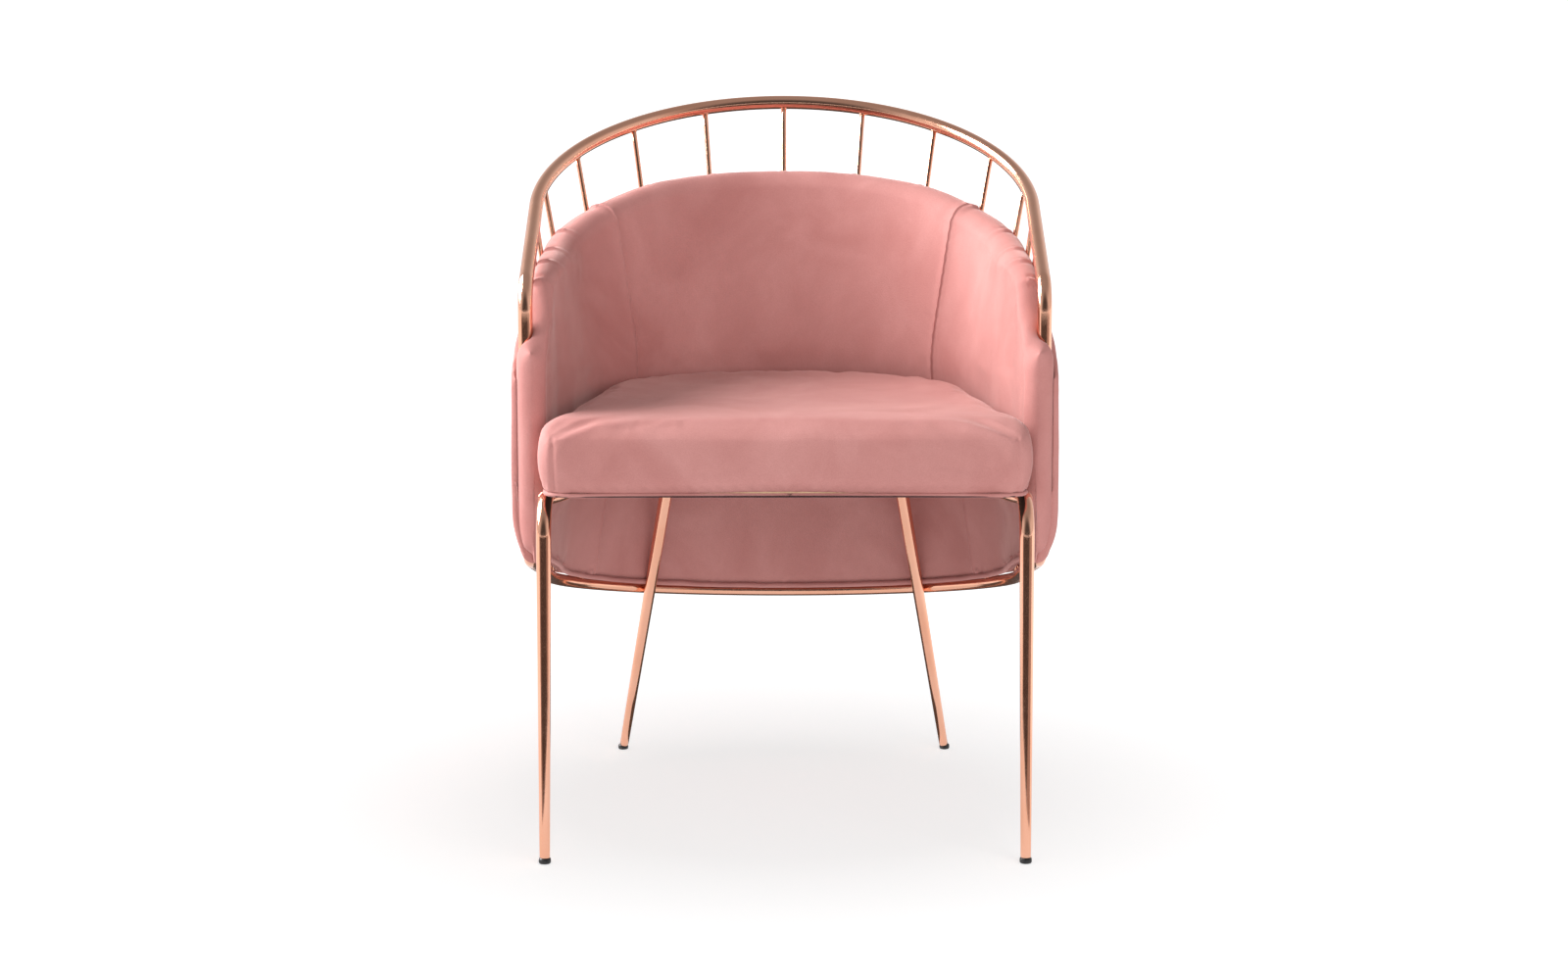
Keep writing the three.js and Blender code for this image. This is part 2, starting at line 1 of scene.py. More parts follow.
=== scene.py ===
"""Upholstered armchair in a cage of bent rose-gold tube: smooth metal, padded velvet and studio light.

Metres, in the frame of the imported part: X to the right, Y to the back, Z up, the floor at z = 0.
Depths called y_front are measured from the front of the seat, as in the part.
"""
import json
import math

import bpy
import numpy as np
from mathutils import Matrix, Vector, noise


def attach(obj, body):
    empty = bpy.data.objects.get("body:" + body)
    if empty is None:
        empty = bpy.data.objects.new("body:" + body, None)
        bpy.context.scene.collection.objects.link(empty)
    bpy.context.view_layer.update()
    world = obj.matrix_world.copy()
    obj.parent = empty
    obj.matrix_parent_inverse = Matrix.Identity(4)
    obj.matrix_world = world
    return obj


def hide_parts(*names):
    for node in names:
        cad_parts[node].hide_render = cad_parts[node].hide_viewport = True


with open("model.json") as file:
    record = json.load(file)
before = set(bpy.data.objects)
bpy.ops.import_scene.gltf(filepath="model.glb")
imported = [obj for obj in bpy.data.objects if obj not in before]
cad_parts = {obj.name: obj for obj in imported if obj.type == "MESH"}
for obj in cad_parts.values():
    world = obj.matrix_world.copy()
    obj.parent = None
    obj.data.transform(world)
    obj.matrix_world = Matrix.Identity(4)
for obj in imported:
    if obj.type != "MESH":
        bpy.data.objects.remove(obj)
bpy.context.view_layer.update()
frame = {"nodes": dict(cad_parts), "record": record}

# ---- driving dimensions of the part ----

FRONT = -0.280  # y of the seat's front
TUBE = 0.008  # radius of the top rail and its posts
HOOP_TUBE = 0.007
ROD = 0.003
HALF_WIDTH = 0.2805
POST_Y = 0.118
RAIL = {"width": 0.2805, "back": 0.552, "depth": 0.250, "top": 0.792, "slope": 0.42}
HOOP = {"width": 0.272, "back": 0.522, "depth": 0.190, "bottom": 0.202, "slope": 0.28}
BEND = 0.038
BEND_RUN = 0.052  # how far before its post a cage tube starts to bend
POST_JOINT_Z = 0.430
WAIST_Z = 0.500
WAIST_DEPTH = 0.062
WAIST_END = 0.025  # length at the front where the cage has no waist
WAIST_SOFTNESS = 0.06
WAIST_POWERS = (1.08, 1.04)  # how the cage curves above and below its waist
HOOP_SPREAD_Y = 0.300  # in front of this depth the hoop widens to meet the posts
ROD_STEPS = [0, 0.096, 0.191, 0.283, 0.368, 0.438, 0.494, 0.546]
ROD_CLEAR = ROD + 0.0005
POST_CLEAR = TUBE + 0.0006
BOARD = 0.0038  # a board and its clearance
INNER_PAD = 0.031  # the pads' thickness where they are fullest
OUTER_PAD = 0.015
TOP_ROUND = 0.020  # how far the pads' upper and lower edges are rounded
BOTTOM_ROUND = 0.011
CREST = 0.42  # where the rounded edge's ridge lies, from lip to face
LIP = {"gap": 0.0006, "rod": 0.0026, "post": 0.0078}  # the lips' clearance, alone and beside a rod or post
SEWN = 0.0014  # how far the outer pad's front runs into the roll that it is sewn to
PAD_GAP = 0.0015
SHELL_FRONT_Y = 0.088
OUTER_TIP_Y = 0.100
OUTER_TIP = 0.012  # length over which the outer pad's tip is rounded
WELT_TOP_Z = 0.398  # where the lower piping ends inside the rolls
ROLL_TIP = 0.0095  # depth of the front roll's foremost line
ROLL_SIDE = -0.0105  # depth of the roll's outer side, beyond the post
ROLL_BACK_Y = POST_Y - TUBE - 0.0008
SEAM = 0.276  # where the pads' panels are sewn together, along the rail
SEAT = {"half": 0.265, "corner": 0.024, "middle": 0.225, "bottom": 0.402, "edge": 0.466, "crown": 0.479}
FACE_ROWS, TOP_ROWS = 54, 9  # rows of a pad's grid on its face and over its top edge
MARKS = ("row", "along", "height")  # what each vertex of a pad remembers: its row, distance and height
FRONT_STEPS, SEAT_STEPS = 24, 110  # points along half the seat's front, and round half of it
FRAME_Z = 0.3915
FRAME_BACK_Y = 0.437
FRONT_LEG = {"foot": (0.259, 0.015), "knee": (0.256, 0.015), "bend": 0.036, "end_y": 0.0523,
             "top": 0.008, "tip": 0.0057}
REAR_LEG = {"foot": (0.198, 0.535), "head": (0.132, 0.411), "head_z": 0.383, "top": 0.008, "tip": 0.0052}
GLIDE = 0.007
# Height of the shell's upper edge at depths from the seat's front, and how much lower the outer pad ends.
SHELL_TOP = [(0.088, 0.541), (0.100, 0.550), (0.118, 0.567), (0.150, 0.594), (0.173, 0.6175), (0.225, 0.6325),
             (0.281, 0.640), (0.350, 0.6555), (0.435, 0.679), (0.495, 0.699), (0.552, 0.713)]
OUTER_LOWER = [(0.118, 0.036), (0.350, 0.022), (0.552, 0.006)]
FRAME_SIDE = [(0.256, 0.053), (0.2555, 0.059), (0.243, 0.084), (0.231, 0.120), (0.215, 0.190),
              (0.190, 0.270), (0.158, 0.350), (0.132, 0.411), (0.062, 0.431)]
CROSS_BARS = {"front": 0.128, "rear": 0.318}
STUB = 0.006  # radius of the cross bars and of the stubs to the posts
STUB_Y = 0.125
SIDES = ((-1, "left"), (1, "right"))
BEAD = 0.0016  # radius of the larger weld beads
WELD_SINK = 0.0012  # how far a welded end runs into its neighbour


# ---- small helpers ----

def lerp(a, b, t):
    return a + (b - a) * t


def smooth(t):
    c = np.clip(t, 0, 1)
    return c * c * (3 - 2 * c)


def bump(x, width):
    return np.exp(-((x / width) ** 2))


def quarter_circle(t):
    """From 0 up to 1, steep at first and level at t = 1."""
    return np.sqrt(np.maximum(0, 1 - (1 - t) ** 2))


# ---- the cage's curved surface ----

class PlanCurve:
    """Half of a plan curve: a quarter of an ellipse at the back that runs into a straight side."""

    def __init__(self, width, back, depth):
        self.width = width
        self.depth = depth
        self.centre = back - depth
        self.turn = np.linspace(0, math.pi / 2, 401)
        steps = np.hypot(np.diff(width * np.sin(self.turn)), np.diff(depth * np.cos(self.turn)))
        self.run = np.concatenate([[0], np.cumsum(steps)])
        self.length = self.run[-1] + self.centre - POST_Y

    def at(self, distance):
        """x, y_front and the outward normal, a distance from the middle of the back."""
        turn = np.interp(distance, self.run, self.turn)
        straight = np.maximum(0, distance - self.run[-1])
        nx = np.sin(turn) / self.width
        ny = np.cos(turn) / self.depth
        size = np.hypot(nx, ny)
        x = self.width * np.sin(turn)
        y = self.centre + self.depth * np.cos(turn) - straight
        return x, y, nx / size, ny / size


rail_plan = PlanCurve(RAIL["width"], RAIL["back"], RAIL["depth"])
hoop_plan = PlanCurve(HOOP["width"], HOOP["back"], HOOP["depth"])
REACH = rail_plan.length


def rail_z(y):
    return RAIL["top"] - RAIL["slope"] * (RAIL["back"] - y)


def hoop_z(y):
    return HOOP["bottom"] + HOOP["slope"] * (HOOP["back"] - y)


def hoop_at(distance):
    x, y, _, _ = hoop_plan.at(distance * hoop_plan.length / REACH)
    spread = (HALF_WIDTH - HOOP["width"]) * smooth((HOOP_SPREAD_Y - y) / (HOOP_SPREAD_Y - POST_Y))
    return x + spread, y


def cage(distance, z):
    """x, y_front, normal, rail height and hoop height at a distance along the rail and a height."""
    side = np.where(np.asarray(distance) < 0, -1.0, 1.0)
    d = np.abs(distance)
    rail_x, rail_y, nx, ny = rail_plan.at(d)
    hoop_x, hoop_y = hoop_at(d)
    ahead = np.maximum(0, REACH - WAIST_END - d) / (REACH - WAIST_END)
    inset = WAIST_DEPTH * np.sin(math.pi / 2 * np.minimum(1, ahead))
    top = rail_z(rail_y)
    bottom = hoop_z(hoop_y)
    above = z > WAIST_Z
    end_x = np.where(above, rail_x, hoop_x)
    end_y = np.where(above, rail_y, hoop_y)
    part = np.where(above, (z - WAIST_Z) / (top - WAIST_Z), (WAIST_Z - z) / (WAIST_Z - bottom))
    soft = WAIST_SOFTNESS
    s = (np.sqrt(np.clip(part, 0, 1) ** 2 + soft ** 2) - soft) / (math.sqrt(1 + soft ** 2) - soft)
    s = s ** np.where(above, *WAIST_POWERS)
    x = lerp(rail_x - inset * nx, end_x, s)
    y = lerp(rail_y - inset * ny, end_y, s)
    return side * x, y, side * nx, ny, top, bottom


def offset(distance, z, out):
    """Points a distance out from the cage's surface, in the part's frame."""
    x, y, nx, ny, _, _ = cage(distance, z)
    return np.stack([x + out * nx, y + out * ny + FRONT, z + 0 * x], axis=-1)


def plan_y(distance):
    """Depth from the seat's front; past the post it runs straight on."""
    d = np.abs(distance)
    return np.where(d > REACH - 0.030, POST_Y + REACH - d, rail_plan.at(d)[1])


def between(pairs, y):
    """Interpolation in a list of (depth, value) pairs, with its corners softened."""
    depth, value = zip(*pairs)
    return sum(np.interp(y + shift, depth, value) for shift in (-0.012, -0.006, 0, 0.006, 0.012)) / 5


def shell_z(distance, v, lower=0.0):
    """Height on the shell: v is 0 at its lower edge and 1 at its upper; lower is 1 for the outer pad."""
    d = np.abs(distance)
    y = plan_y(d)
    hoop = cage(d, WAIST_Z)[5] + HOOP_TUBE + PAD_GAP
    roll_drop = 0.018 * smooth((0.122 - y) / 0.026)
    tip_rise = 0.014 * np.clip((SHELL_FRONT_Y + 0.016 - y) / 0.016, 0, 1) ** 2
    dip = lower * between(OUTER_LOWER, y) * smooth((v - 0.76) / 0.24)
    return lerp(hoop - roll_drop + tip_rise, between(SHELL_TOP, y), v) - dip


def clearance(distance):
    """Room for the rods, and for the thicker post in front."""
    return lerp(ROD_CLEAR, POST_CLEAR, smooth((np.abs(distance) - REACH + 0.060) / 0.040))


# ---- meshes ----

def placed(name, data):
    """A new object in the scene."""
    made = bpy.data.objects.new(name, data)
    bpy.context.scene.collection.objects.link(made)
    return made


def mesh_object(name, vertices, faces, material, flat=False):
    mesh = bpy.data.meshes.new(name)
    mesh.from_pydata([tuple(map(float, v)) for v in vertices], [], faces)
    mesh.validate()
    mesh.polygons.foreach_set("use_smooth", [not flat] * len(mesh.polygons))
    mesh.materials.append(material)
    return placed(name, mesh)


def piece(made, slot, *replaced):
    """A piece of the chair: it rides on its one body and hides the part's nodes that it replaces; slot is not
    used.
    """
    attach(made, "root")
    if replaced:
        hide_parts(*replaced)
    return made


def gold_piece(name, node, *parts):
    """A piece of polished tube from one or more bars and welds, in place of a node."""
    vertices, faces = joined(parts)
    piece(mesh_object(name, vertices, faces, GOLD), "rose_gold", node)


def tube_faces(rings, count):
    """Quads between neighbouring rings of equal length."""
    faces = []
    for k in range(rings - 1):
        for i in range(count):
            a = k * count + i
            b = k * count + (i + 1) % count
            faces.append((a, b, b + count, a + count))
    return faces


def loft_faces(rings, count):
    """The same, with a fan at each end round the two last vertices."""
    faces = tube_faces(rings, count)
    first, last = rings * count, rings * count + 1
    end = (rings - 1) * count
    for i in range(count):
        j = (i + 1) % count
        faces.append((j, i, first))
        faces.append((end + i, end + j, last))
    return faces


def sweep(path, radii, sides=28):
    """Vertices and faces of a round bar along a path, with softly rounded ends."""
    points = [Vector(p) for p in path]
    tangents = []
    for i in range(len(points)):
        before = points[max(0, i - 1)]
        after = points[min(len(points) - 1, i + 1)]
        tangents.append((after - before).normalized())
    seed = Vector((1, 0, 0)) if abs(tangents[0].z) > 0.9 else Vector((0, 0, 1))
    side = seed.cross(tangents[0]).normalized()
    rim = min(0.0008, 0.3 * radii[0])
    stops = [(0, -1, rim)] + [(i, 0, 0) for i in range(len(points))] + [(len(points) - 1, 1, rim)]
    vertices = []
    for i, end, inset in stops:
        t = tangents[i]
        side = (side - t * side.dot(t)).normalized()
        up = t.cross(side)
        centre = points[i] + t * (end * rim)
        r = radii[i] - inset
        for k in range(sides):
            angle = 2 * math.pi * k / sides
            vertices.append(centre + r * (math.cos(angle) * side + math.sin(angle) * up))
    vertices.append(points[0] - tangents[0] * rim)
    vertices.append(points[-1] + tangents[-1] * rim)
    faces = [f[::-1] for f in loft_faces(len(stops), sides)]
    return vertices, faces


def joined(parts):
    """One vertex list and face list from several."""
    vertices, faces = [], []
    for part_vertices, part_faces in parts:
        start = len(vertices)
        vertices.extend(part_vertices)
        faces.extend(tuple(start + i for i in f) for f in part_faces)
    return vertices, faces


def bar(path, radius, sides=28):
    return sweep(path, [radius] * len(path), sides)


def rounded(corners, radius, steps=14):
    """A polyline with its corners turned into arcs of one radius."""
    path = [Vector(corners[0])]
    for before, here, after in zip(corners, corners[1:], corners[2:]):
        corner = Vector(here)
        a = (Vector(before) - corner).normalized()
        b = (Vector(after) - corner).normalized()
        half = a.angle(b) / 2
        centre = corner + (a + b).normalized() * (radius / math.sin(half))
        start = corner + a * (radius / math.tan(half)) - centre
        end = corner + b * (radius / math.tan(half)) - centre
        turn = start.angle(end)
        for k in range(steps + 1):
            t = k / steps
            spoke = math.sin((1 - t) * turn) * start + math.sin(t * turn) * end
            path.append(centre + spoke / math.sin(turn))
    path.append(Vector(corners[-1]))
    return path


def straightened(path, spacing=0.012):
    """The same line with points close enough together for a smooth taper."""
    dense = [Vector(path[0])]
    for a, b in zip(path, path[1:]):
        a, b = Vector(a), Vector(b)
        count = max(1, round((b - a).length / spacing))
        dense.extend(a.lerp(b, (k + 1) / count) for k in range(count))
    return dense


def weld(centre, axis, radius, bead=0.0011, sides=24):
    """A thin fillet of weld round a bar where it meets another."""
    axis = Vector(axis).normalized()
    side = axis.orthogonal().normalized()
    up = axis.cross(side)
    ring = 8
    vertices, faces = [], []
    for i in range(sides):
        angle = 2 * math.pi * i / sides
        outward = math.cos(angle) * side + math.sin(angle) * up
        swell = 1 + 0.18 * math.sin(5 * angle) * math.sin(3 * angle + 1)
        for k in range(ring):
            turn = 2 * math.pi * k / ring
            r = radius + bead * swell * math.cos(turn)
            vertices.append(Vector(centre) + outward * r + axis * (bead * swell * math.sin(turn)))
    for i in range(sides):
        here, beyond = i * ring, (i + 1) % sides * ring
        for k in range(ring):
            j = (k + 1) % ring
            faces.append((here + k, beyond + k, beyond + j, here + j))
    return vertices, faces


# ---- materials ----

class Nodes:
    """The node tree of a new material, or of the world, with short calls for the nodes in use."""

    def __init__(self, name, world=None):
        self.material = world or bpy.data.materials.new(name)
        self.material.use_nodes = True
        self.tree = self.material.node_tree
        self.shader = self.tree.nodes["Background" if world else "Principled BSDF"]
        self.place = self.node("ShaderNodeTexCoord").outputs["Generated" if world else "Object"]

    def feed(self, node, values):
        """Sets a node's inputs, each to a number, a tuple or another node's output."""
        for key, value in values.items():
            if isinstance(value, bpy.types.NodeSocket):
                self.tree.links.new(value, node.inputs[key])
            else:
                node.inputs[key].default_value = value

    def node(self, kind, inputs=None, **settings):
        made = self.tree.nodes.new(kind)
        for key, value in settings.items():
            setattr(made, key, value)
        self.feed(made, inputs or {})
        return made

    def set(self, **values):
        """Sets the shader's inputs; underscores stand for the spaces in their names."""
        self.feed(self.shader, {key.replace("_", " "): value for key, value in values.items()})

    def stretched(self, scale):
        return self.node("ShaderNodeMapping", {"Scale": scale, "Vector": self.place}).outputs["Vector"]

    def noise(self, scale, detail=3.0, rough=0.5, vector=None, distortion=0.0):
        inputs = {"Scale": scale, "Detail": detail, "Roughness": rough, "Distortion": distortion,
                  "Vector": vector or self.place}
        return self.node("ShaderNodeTexNoise", inputs).outputs["Fac"]

    def cells(self, scale, **settings):
        return self.node("ShaderNodeTexVoronoi", {"Scale": scale, "Vector": self.place}, **settings)

    def ramp(self, value, low, high, to_low=0.0, to_high=1.0, shape="LINEAR"):
        inputs = {"Value": value, "From Min": low, "From Max": high, "To Min": to_low, "To Max": to_high}
        return self.node("ShaderNodeMapRange", inputs, interpolation_type=shape).outputs["Result"]

    def mix(self, factor, *colours):
        """A blend of two colours, each an (r, g, b) tuple or another node's output."""
        a, b = ((*c, 1) if isinstance(c, tuple) else c for c in colours)
        return self.node("ShaderNodeMix", {"Factor": factor, 6: a, 7: b}, data_type="RGBA").outputs[2]

    def bumps(self, *layers):
        """Chained bump nodes: each layer is a height and its depth in metres."""
        normal = {}
        for height, depth in layers:
            inputs = {"Strength": 1.0, "Distance": depth, "Height": height, **normal}
            normal = {"Normal": self.node("ShaderNodeBump", inputs).outputs["Normal"]}
        self.set(**normal)


def velvet_material(name="velvet", tone=1.0, sheen=0.75):
    """Dusty-pink velvet: nap brushed into soft patches, a fine pile and a strong sheen."""
    n = Nodes(name)
    shades = ((0.36, 0.135, 0.122), (0.47, 0.198, 0.182), (0.58, 0.275, 0.255))
    deep, mid, pale = (tuple(tone * c for c in shade) for shade in shades)
    patches = n.ramp(n.noise(9, 4, 0.55, distortion=0.8), 0.32, 0.68)
    strokes = n.ramp(n.noise(22, 4, 0.55, n.stretched((1, 1, 0.6)), 0.8), 0.3, 0.72)
    pile = n.ramp(n.noise(900, 2, 0.6), 0.3, 0.7)
    nap = n.mix(patches, mid, pale)
    brushed = n.mix(n.ramp(strokes, 0, 1, 0.0, 0.42), nap, mid)
    n.set(Base_Color=n.mix(n.ramp(pile, 0, 1, 0.30, 0.0), brushed, deep))
    n.set(Roughness=n.ramp(patches, 0, 1, 0.86, 0.70), Specular_IOR_Level=0.18)
    n.set(Sheen_Weight=sheen, Sheen_Roughness=0.28, Sheen_Tint=(1.0, 0.74, 0.70, 1))
    n.bumps((strokes, 0.0001), (pile, 0.00016))
    return n.material


def rose_gold_material():
    """Polished rose gold: a bright copper-pink mirror with faint drawing lines and handling marks."""
    n = Nodes("rose_gold")
    tone = n.ramp(n.noise(14, 3, 0.5), 0.3, 0.7)
    smears = n.noise(55, 5, 0.65, distortion=0.5)
    n.set(Base_Color=n.mix(tone, (0.90, 0.45, 0.30), (0.95, 0.52, 0.37)), Metallic=1.0)
    n.set(Roughness=n.ramp(smears, 0.3, 0.75, 0.10, 0.20))
    grain = n.noise(420, 2, 0.5, n.stretched((1, 1, 0.08)))
    n.bumps((grain, 0.000012), (n.noise(30, 2, 0.5), 0.00006))
    return n.material


def rubber_material():
    n = Nodes("glide_rubber")
    wear = n.ramp(n.noise(260, 4, 0.6), 0.45, 0.75)
    n.set(Base_Color=n.mix(wear, (0.008, 0.008, 0.009), (0.03, 0.029, 0.028)))
    n.set(Roughness=n.ramp(wear, 0, 1, 0.38, 0.62))
    n.bumps((n.noise(700, 3, 0.6), 0.00005))
    return n.material


def plywood_material():
    """Birch ply with a long grain."""
    n = Nodes("plywood")
    grain = n.noise(60, 6, 0.65, n.stretched((1, 1, 0.08)), 1.2)
    tone = n.ramp(grain, 0.35, 0.7)
    n.set(Base_Color=n.mix(tone, (0.62, 0.43, 0.25), (0.40, 0.25, 0.13)), Roughness=0.55)
    n.bumps((grain, 0.00015))
    return n.material


def zinc_material():
    n = Nodes("zinc_steel")
    spangle = n.cells(500).outputs["Distance"]
    n.set(Base_Color=n.mix(spangle, (0.50, 0.52, 0.54), (0.72, 0.73, 0.74)), Metallic=1.0)
    n.set(Roughness=n.ramp(n.noise(200, 3, 0.5), 0.3, 0.7, 0.26, 0.42))
    n.bumps((n.noise(600, 2, 0.5), 0.00003))
    return n.material


def lining_material():
    """Black non-woven lining: pressed fibres with a grid of bonding dimples."""
    n = Nodes("lining")
    fibres = n.noise(420, 6, 0.75, distortion=1.5)
    dimples = n.cells(420, feature="F1", distance="CHEBYCHEV")
    n.feed(dimples, {"Randomness": 0.0})
    tone = n.ramp(fibres, 0.35, 0.7)
    n.set(Base_Color=n.mix(tone, (0.010, 0.010, 0.012), (0.035, 0.034, 0.038)))
    n.set(Roughness=0.9, Specular_IOR_Level=0.2)
    n.bumps((dimples.outputs["Distance"], 0.0002), (fibres, 0.0002))
    return n.material


def floor_material():
    """Pale studio floor that glows like a lit sweep, more so away from the chair."""
    n = Nodes("floor")
    n.set(Base_Color=n.mix(n.noise(0.6, 2, 0.5), (0.58, 0.58, 0.58), (0.61, 0.61, 0.61)))
    n.set(Roughness=0.9, Specular_IOR_Level=0.1, Emission_Color=(1, 1, 1, 1))
    away = n.node("ShaderNodeVectorMath", {0: n.place}, operation="LENGTH").outputs["Value"]
    n.set(Emission_Strength=n.ramp(away, 0.25, 1.1, 0.62, 1.00))
    return n.material


def reflection_card_material(name, level):
    # Painted reflection: a faint warm glow that the metal mirrors as its dark and grey bands.
    n = Nodes(name)
    n.set(Base_Color=(0, 0, 0, 1), Roughness=1.0, Specular_IOR_Level=0.0, Emission_Strength=level)
    n.set(Emission_Color=n.mix(n.noise(1.2, 2, 0.5), (0.9, 0.74, 0.68), (1, 0.84, 0.78)))
    return n.material


VELVET = velvet_material()
SEAT_VELVET = velvet_material("velvet_seat", 0.95, 0.35)
WELT = velvet_material("velvet_welt", 0.96, 0.35)
GOLD = rose_gold_material()
RUBBER = rubber_material()
CARRIED = {"plywood": plywood_material(), "zinc_steel": zinc_material(), "lining": lining_material(),
           "rose_gold": GOLD, "glide_rubber": RUBBER, "velvet": VELVET}


# ---- metal cage ----

def spot(x, y_front, z):
    """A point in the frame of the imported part."""
    return Vector((float(x), float(y_front) + FRONT, float(z)))


def rail_point(distance, side):
    x, y, _, _ = rail_plan.at(distance)
    return spot(side * x, y, rail_z(y))


def hoop_point(distance, side):
    x, y = hoop_at(distance)
    return spot(side * x, y, hoop_z(y))


def cage_tube(curve, height, foot_z, back):
    """A full tube: round the back, forward along both sides, and round a bend to its two ends."""
    halves = []
    for side in (-1, 1):
        path = [curve((k / 72) * (REACH - BEND_RUN), side) for k in range(1, 73)]
        corner, foot = (spot(side * HALF_WIDTH, POST_Y, z) for z in (height(POST_Y), foot_z))
        halves.append(path + rounded([path[-1], corner, foot], BEND)[1:])
    return list(reversed(halves[0])) + [back] + halves[1]


def metal_cage():
    rail = cage_tube(rail_point, rail_z, POST_JOINT_Z + 0.0003, spot(0, RAIL["back"], RAIL["top"]))
    joints = [weld(spot(side * HALF_WIDTH, POST_Y, POST_JOINT_Z), (0, 0, 1), TUBE - 0.0008)
              for side in (-1, 1)]
    gold_piece("top_rail_tube", "top_rail", bar(rail, TUBE, 36), *joints)
    hoop = cage_tube(hoop_point, hoop_z, POST_JOINT_Z, spot(0, HOOP["back"], HOOP["bottom"]))
    gold_piece("bottom_hoop_tube", "bottom_hoop", bar(hoop, HOOP_TUBE, 32))
    for i, distance in enumerate(ROD_STEPS):
        for side in ([1] if i == 0 else [-1, 1]):
            cage_rod(i, side * distance, side)


def cage_rod(index, distance, side):
    top, bottom = cage(distance, WAIST_Z)[4:]
    heights = np.linspace(float(bottom) + HOOP_TUBE - 0.001, float(top) - TUBE + 0.001, 40)
    path = [Vector(p) for p in offset(np.full(40, distance), heights, 0.0)]
    ends = [weld(path[0], path[1] - path[0], ROD, 0.0012), weld(path[-1], path[-1] - path[-2], ROD, 0.0012)]
    word = "centre" if index == 0 else f"{'left' if side < 0 else 'right'}_{index}"
    gold_piece(f"cage_rod_{word}_bar", f"cage_rod_{word}", bar(path, ROD, 20), *ends)


# ---- seat frame and legs ----

def catmull(points, count):
    """Centripetal Catmull-Rom curve through the points, as three.js draws it."""
    curve = []
    pts = [2 * points[0] - points[1], *points, 2 * points[-1] - points[-2]]
    spans = len(points) - 1
    for k in range(count + 1):
        u = spans * k / count
        i = min(int(u), spans - 1)
        t = u - i
        p0, p1, p2, p3 = pts[i:i + 4]
        d0, d1, d2 = (max((b - a).length ** 0.5, 1e-6) for a, b in ((p0, p1), (p1, p2), (p2, p3)))
        m1 = ((p1 - p0) / d0 - (p2 - p0) / (d0 + d1) + (p2 - p1) / d1) * d1
        m2 = ((p2 - p1) / d1 - (p3 - p1) / (d1 + d2) + (p3 - p2) / d2) * d1
        curve.append(p1 + m1 * t + (3 * (p2 - p1) - 2 * m1 - m2) * t * t + (2 * (p1 - p2) + m1 + m2) * t ** 3)
    return curve


def frame_x(y):
    return float(np.interp(y, [p[1] for p in FRAME_SIDE], [p[0] for p in FRAME_SIDE]))


def seat_frame():
    left, right = ([spot(side * x, y, FRAME_Z) for x, y in FRAME_SIDE] for side in (-1, 1))
    loop = catmull([*left, spot(0, FRAME_BACK_Y, FRAME_Z), *reversed(right)], 170)
    gold_piece("seat_frame_tube", "seat_frame", bar(loop, TUBE, 32))
    for name, y in CROSS_BARS.items():
        reach = frame_x(y) - TUBE + WELD_SINK
        welded_bar(f"cross_bar_{name}", "tube", (-reach, reach), y, 0.02)
    for side, word in SIDES:
        reach = (frame_x(STUB_Y) + TUBE - WELD_SINK, HALF_WIDTH - TUBE + WELD_SINK)
        welded_bar(f"frame_stub_{word}", "bar", (side * reach[0], side * reach[1]), STUB_Y, 0.01)


def welded_bar(node, ending, reach, y, spacing):
    """A bar across the seat's underside, from one x to the other, with a weld at each end."""
    ends = [spot(x, y, FRAME_Z) for x in reach]
    beads = [weld(p, (1, 0, 0), STUB + 0.0002, BEAD) for p in ends]
    gold_piece(f"{node}_{ending}", node, bar(straightened(ends, spacing), STUB), *beads)


def tapered(path, radius_at):
    return sweep(path, [radius_at(p.z) for p in path], 32)


def legs():
    for side, word in SIDES:
        front_leg(side, word)
        rear_leg(side, word)


def front_leg(side, word):
    f = FRONT_LEG
    foot = spot(side * f["foot"][0], f["foot"][1], GLIDE)
    knee = spot(side * f["knee"][0], f["knee"][1], FRAME_Z)
    end = spot(knee.x, f["end_y"], FRAME_Z)
    path = straightened(rounded([foot, knee, end], f["bend"], 20), 0.012)
    leg = tapered(path, lambda z: lerp(f["tip"], f["top"], min(1, z / (FRAME_Z - f["bend"]))))
    joint = weld((knee.x, end.y + 0.0003, FRAME_Z), (0, 1, 0), TUBE - 0.0006)
    gold_piece(f"front_leg_{word}_tube", f"front_leg_{word}", leg, joint)
    glide(f"glide_front_{word}", foot, f["tip"])


def rear_leg(side, word):
    r = REAR_LEG
    ground = spot(side * r["foot"][0], r["foot"][1], 0)
    head = spot(side * r["head"][0], r["head"][1], r["head_z"])
    slope = (head - ground) / r["head_z"]
    line = straightened([ground + slope * GLIDE, head], 0.02)
    leg = tapered(line, lambda z: lerp(r["tip"], r["top"], z / r["head_z"]))
    bead = weld(head, slope, r["top"] + 0.0002, BEAD)
    gold_piece(f"rear_leg_{word}_tube", f"rear_leg_{word}", leg, bead)
    glide(f"glide_rear_{word}", ground, r["tip"])


def glide(name, foot, radius):
    """A turned rubber foot: a domed disc with a soft edge under a short collar."""
    r = radius + 0.001
    profile = [(0.0, 0.0), (r - 0.0022, 0.0), (r - 0.0008, 0.0004), (r - 0.0001, 0.0014), (r, 0.0030),
               (r - 0.0001, 0.0050), (r - 0.0006, 0.0060), (r - 0.0014, 0.0066), (radius - 0.0016, 0.0068),
               (radius - 0.0018, 0.0100), (0.0, 0.0100)]
    sides = 36
    vertices = []
    for ring, z in profile[1:-1]:
        for k in range(sides):
            angle = 2 * math.pi * k / sides
            vertices.append(Vector((foot.x + ring * math.cos(angle), foot.y + ring * math.sin(angle), z)))
    vertices.append(Vector((foot.x, foot.y, 0.0)))
    vertices.append(Vector((foot.x, foot.y, profile[-1][1])))
    faces = loft_faces(len(profile) - 2, sides)
    piece(mesh_object(f"{name}_foot", vertices, faces, RUBBER), "glide_rubber", name)


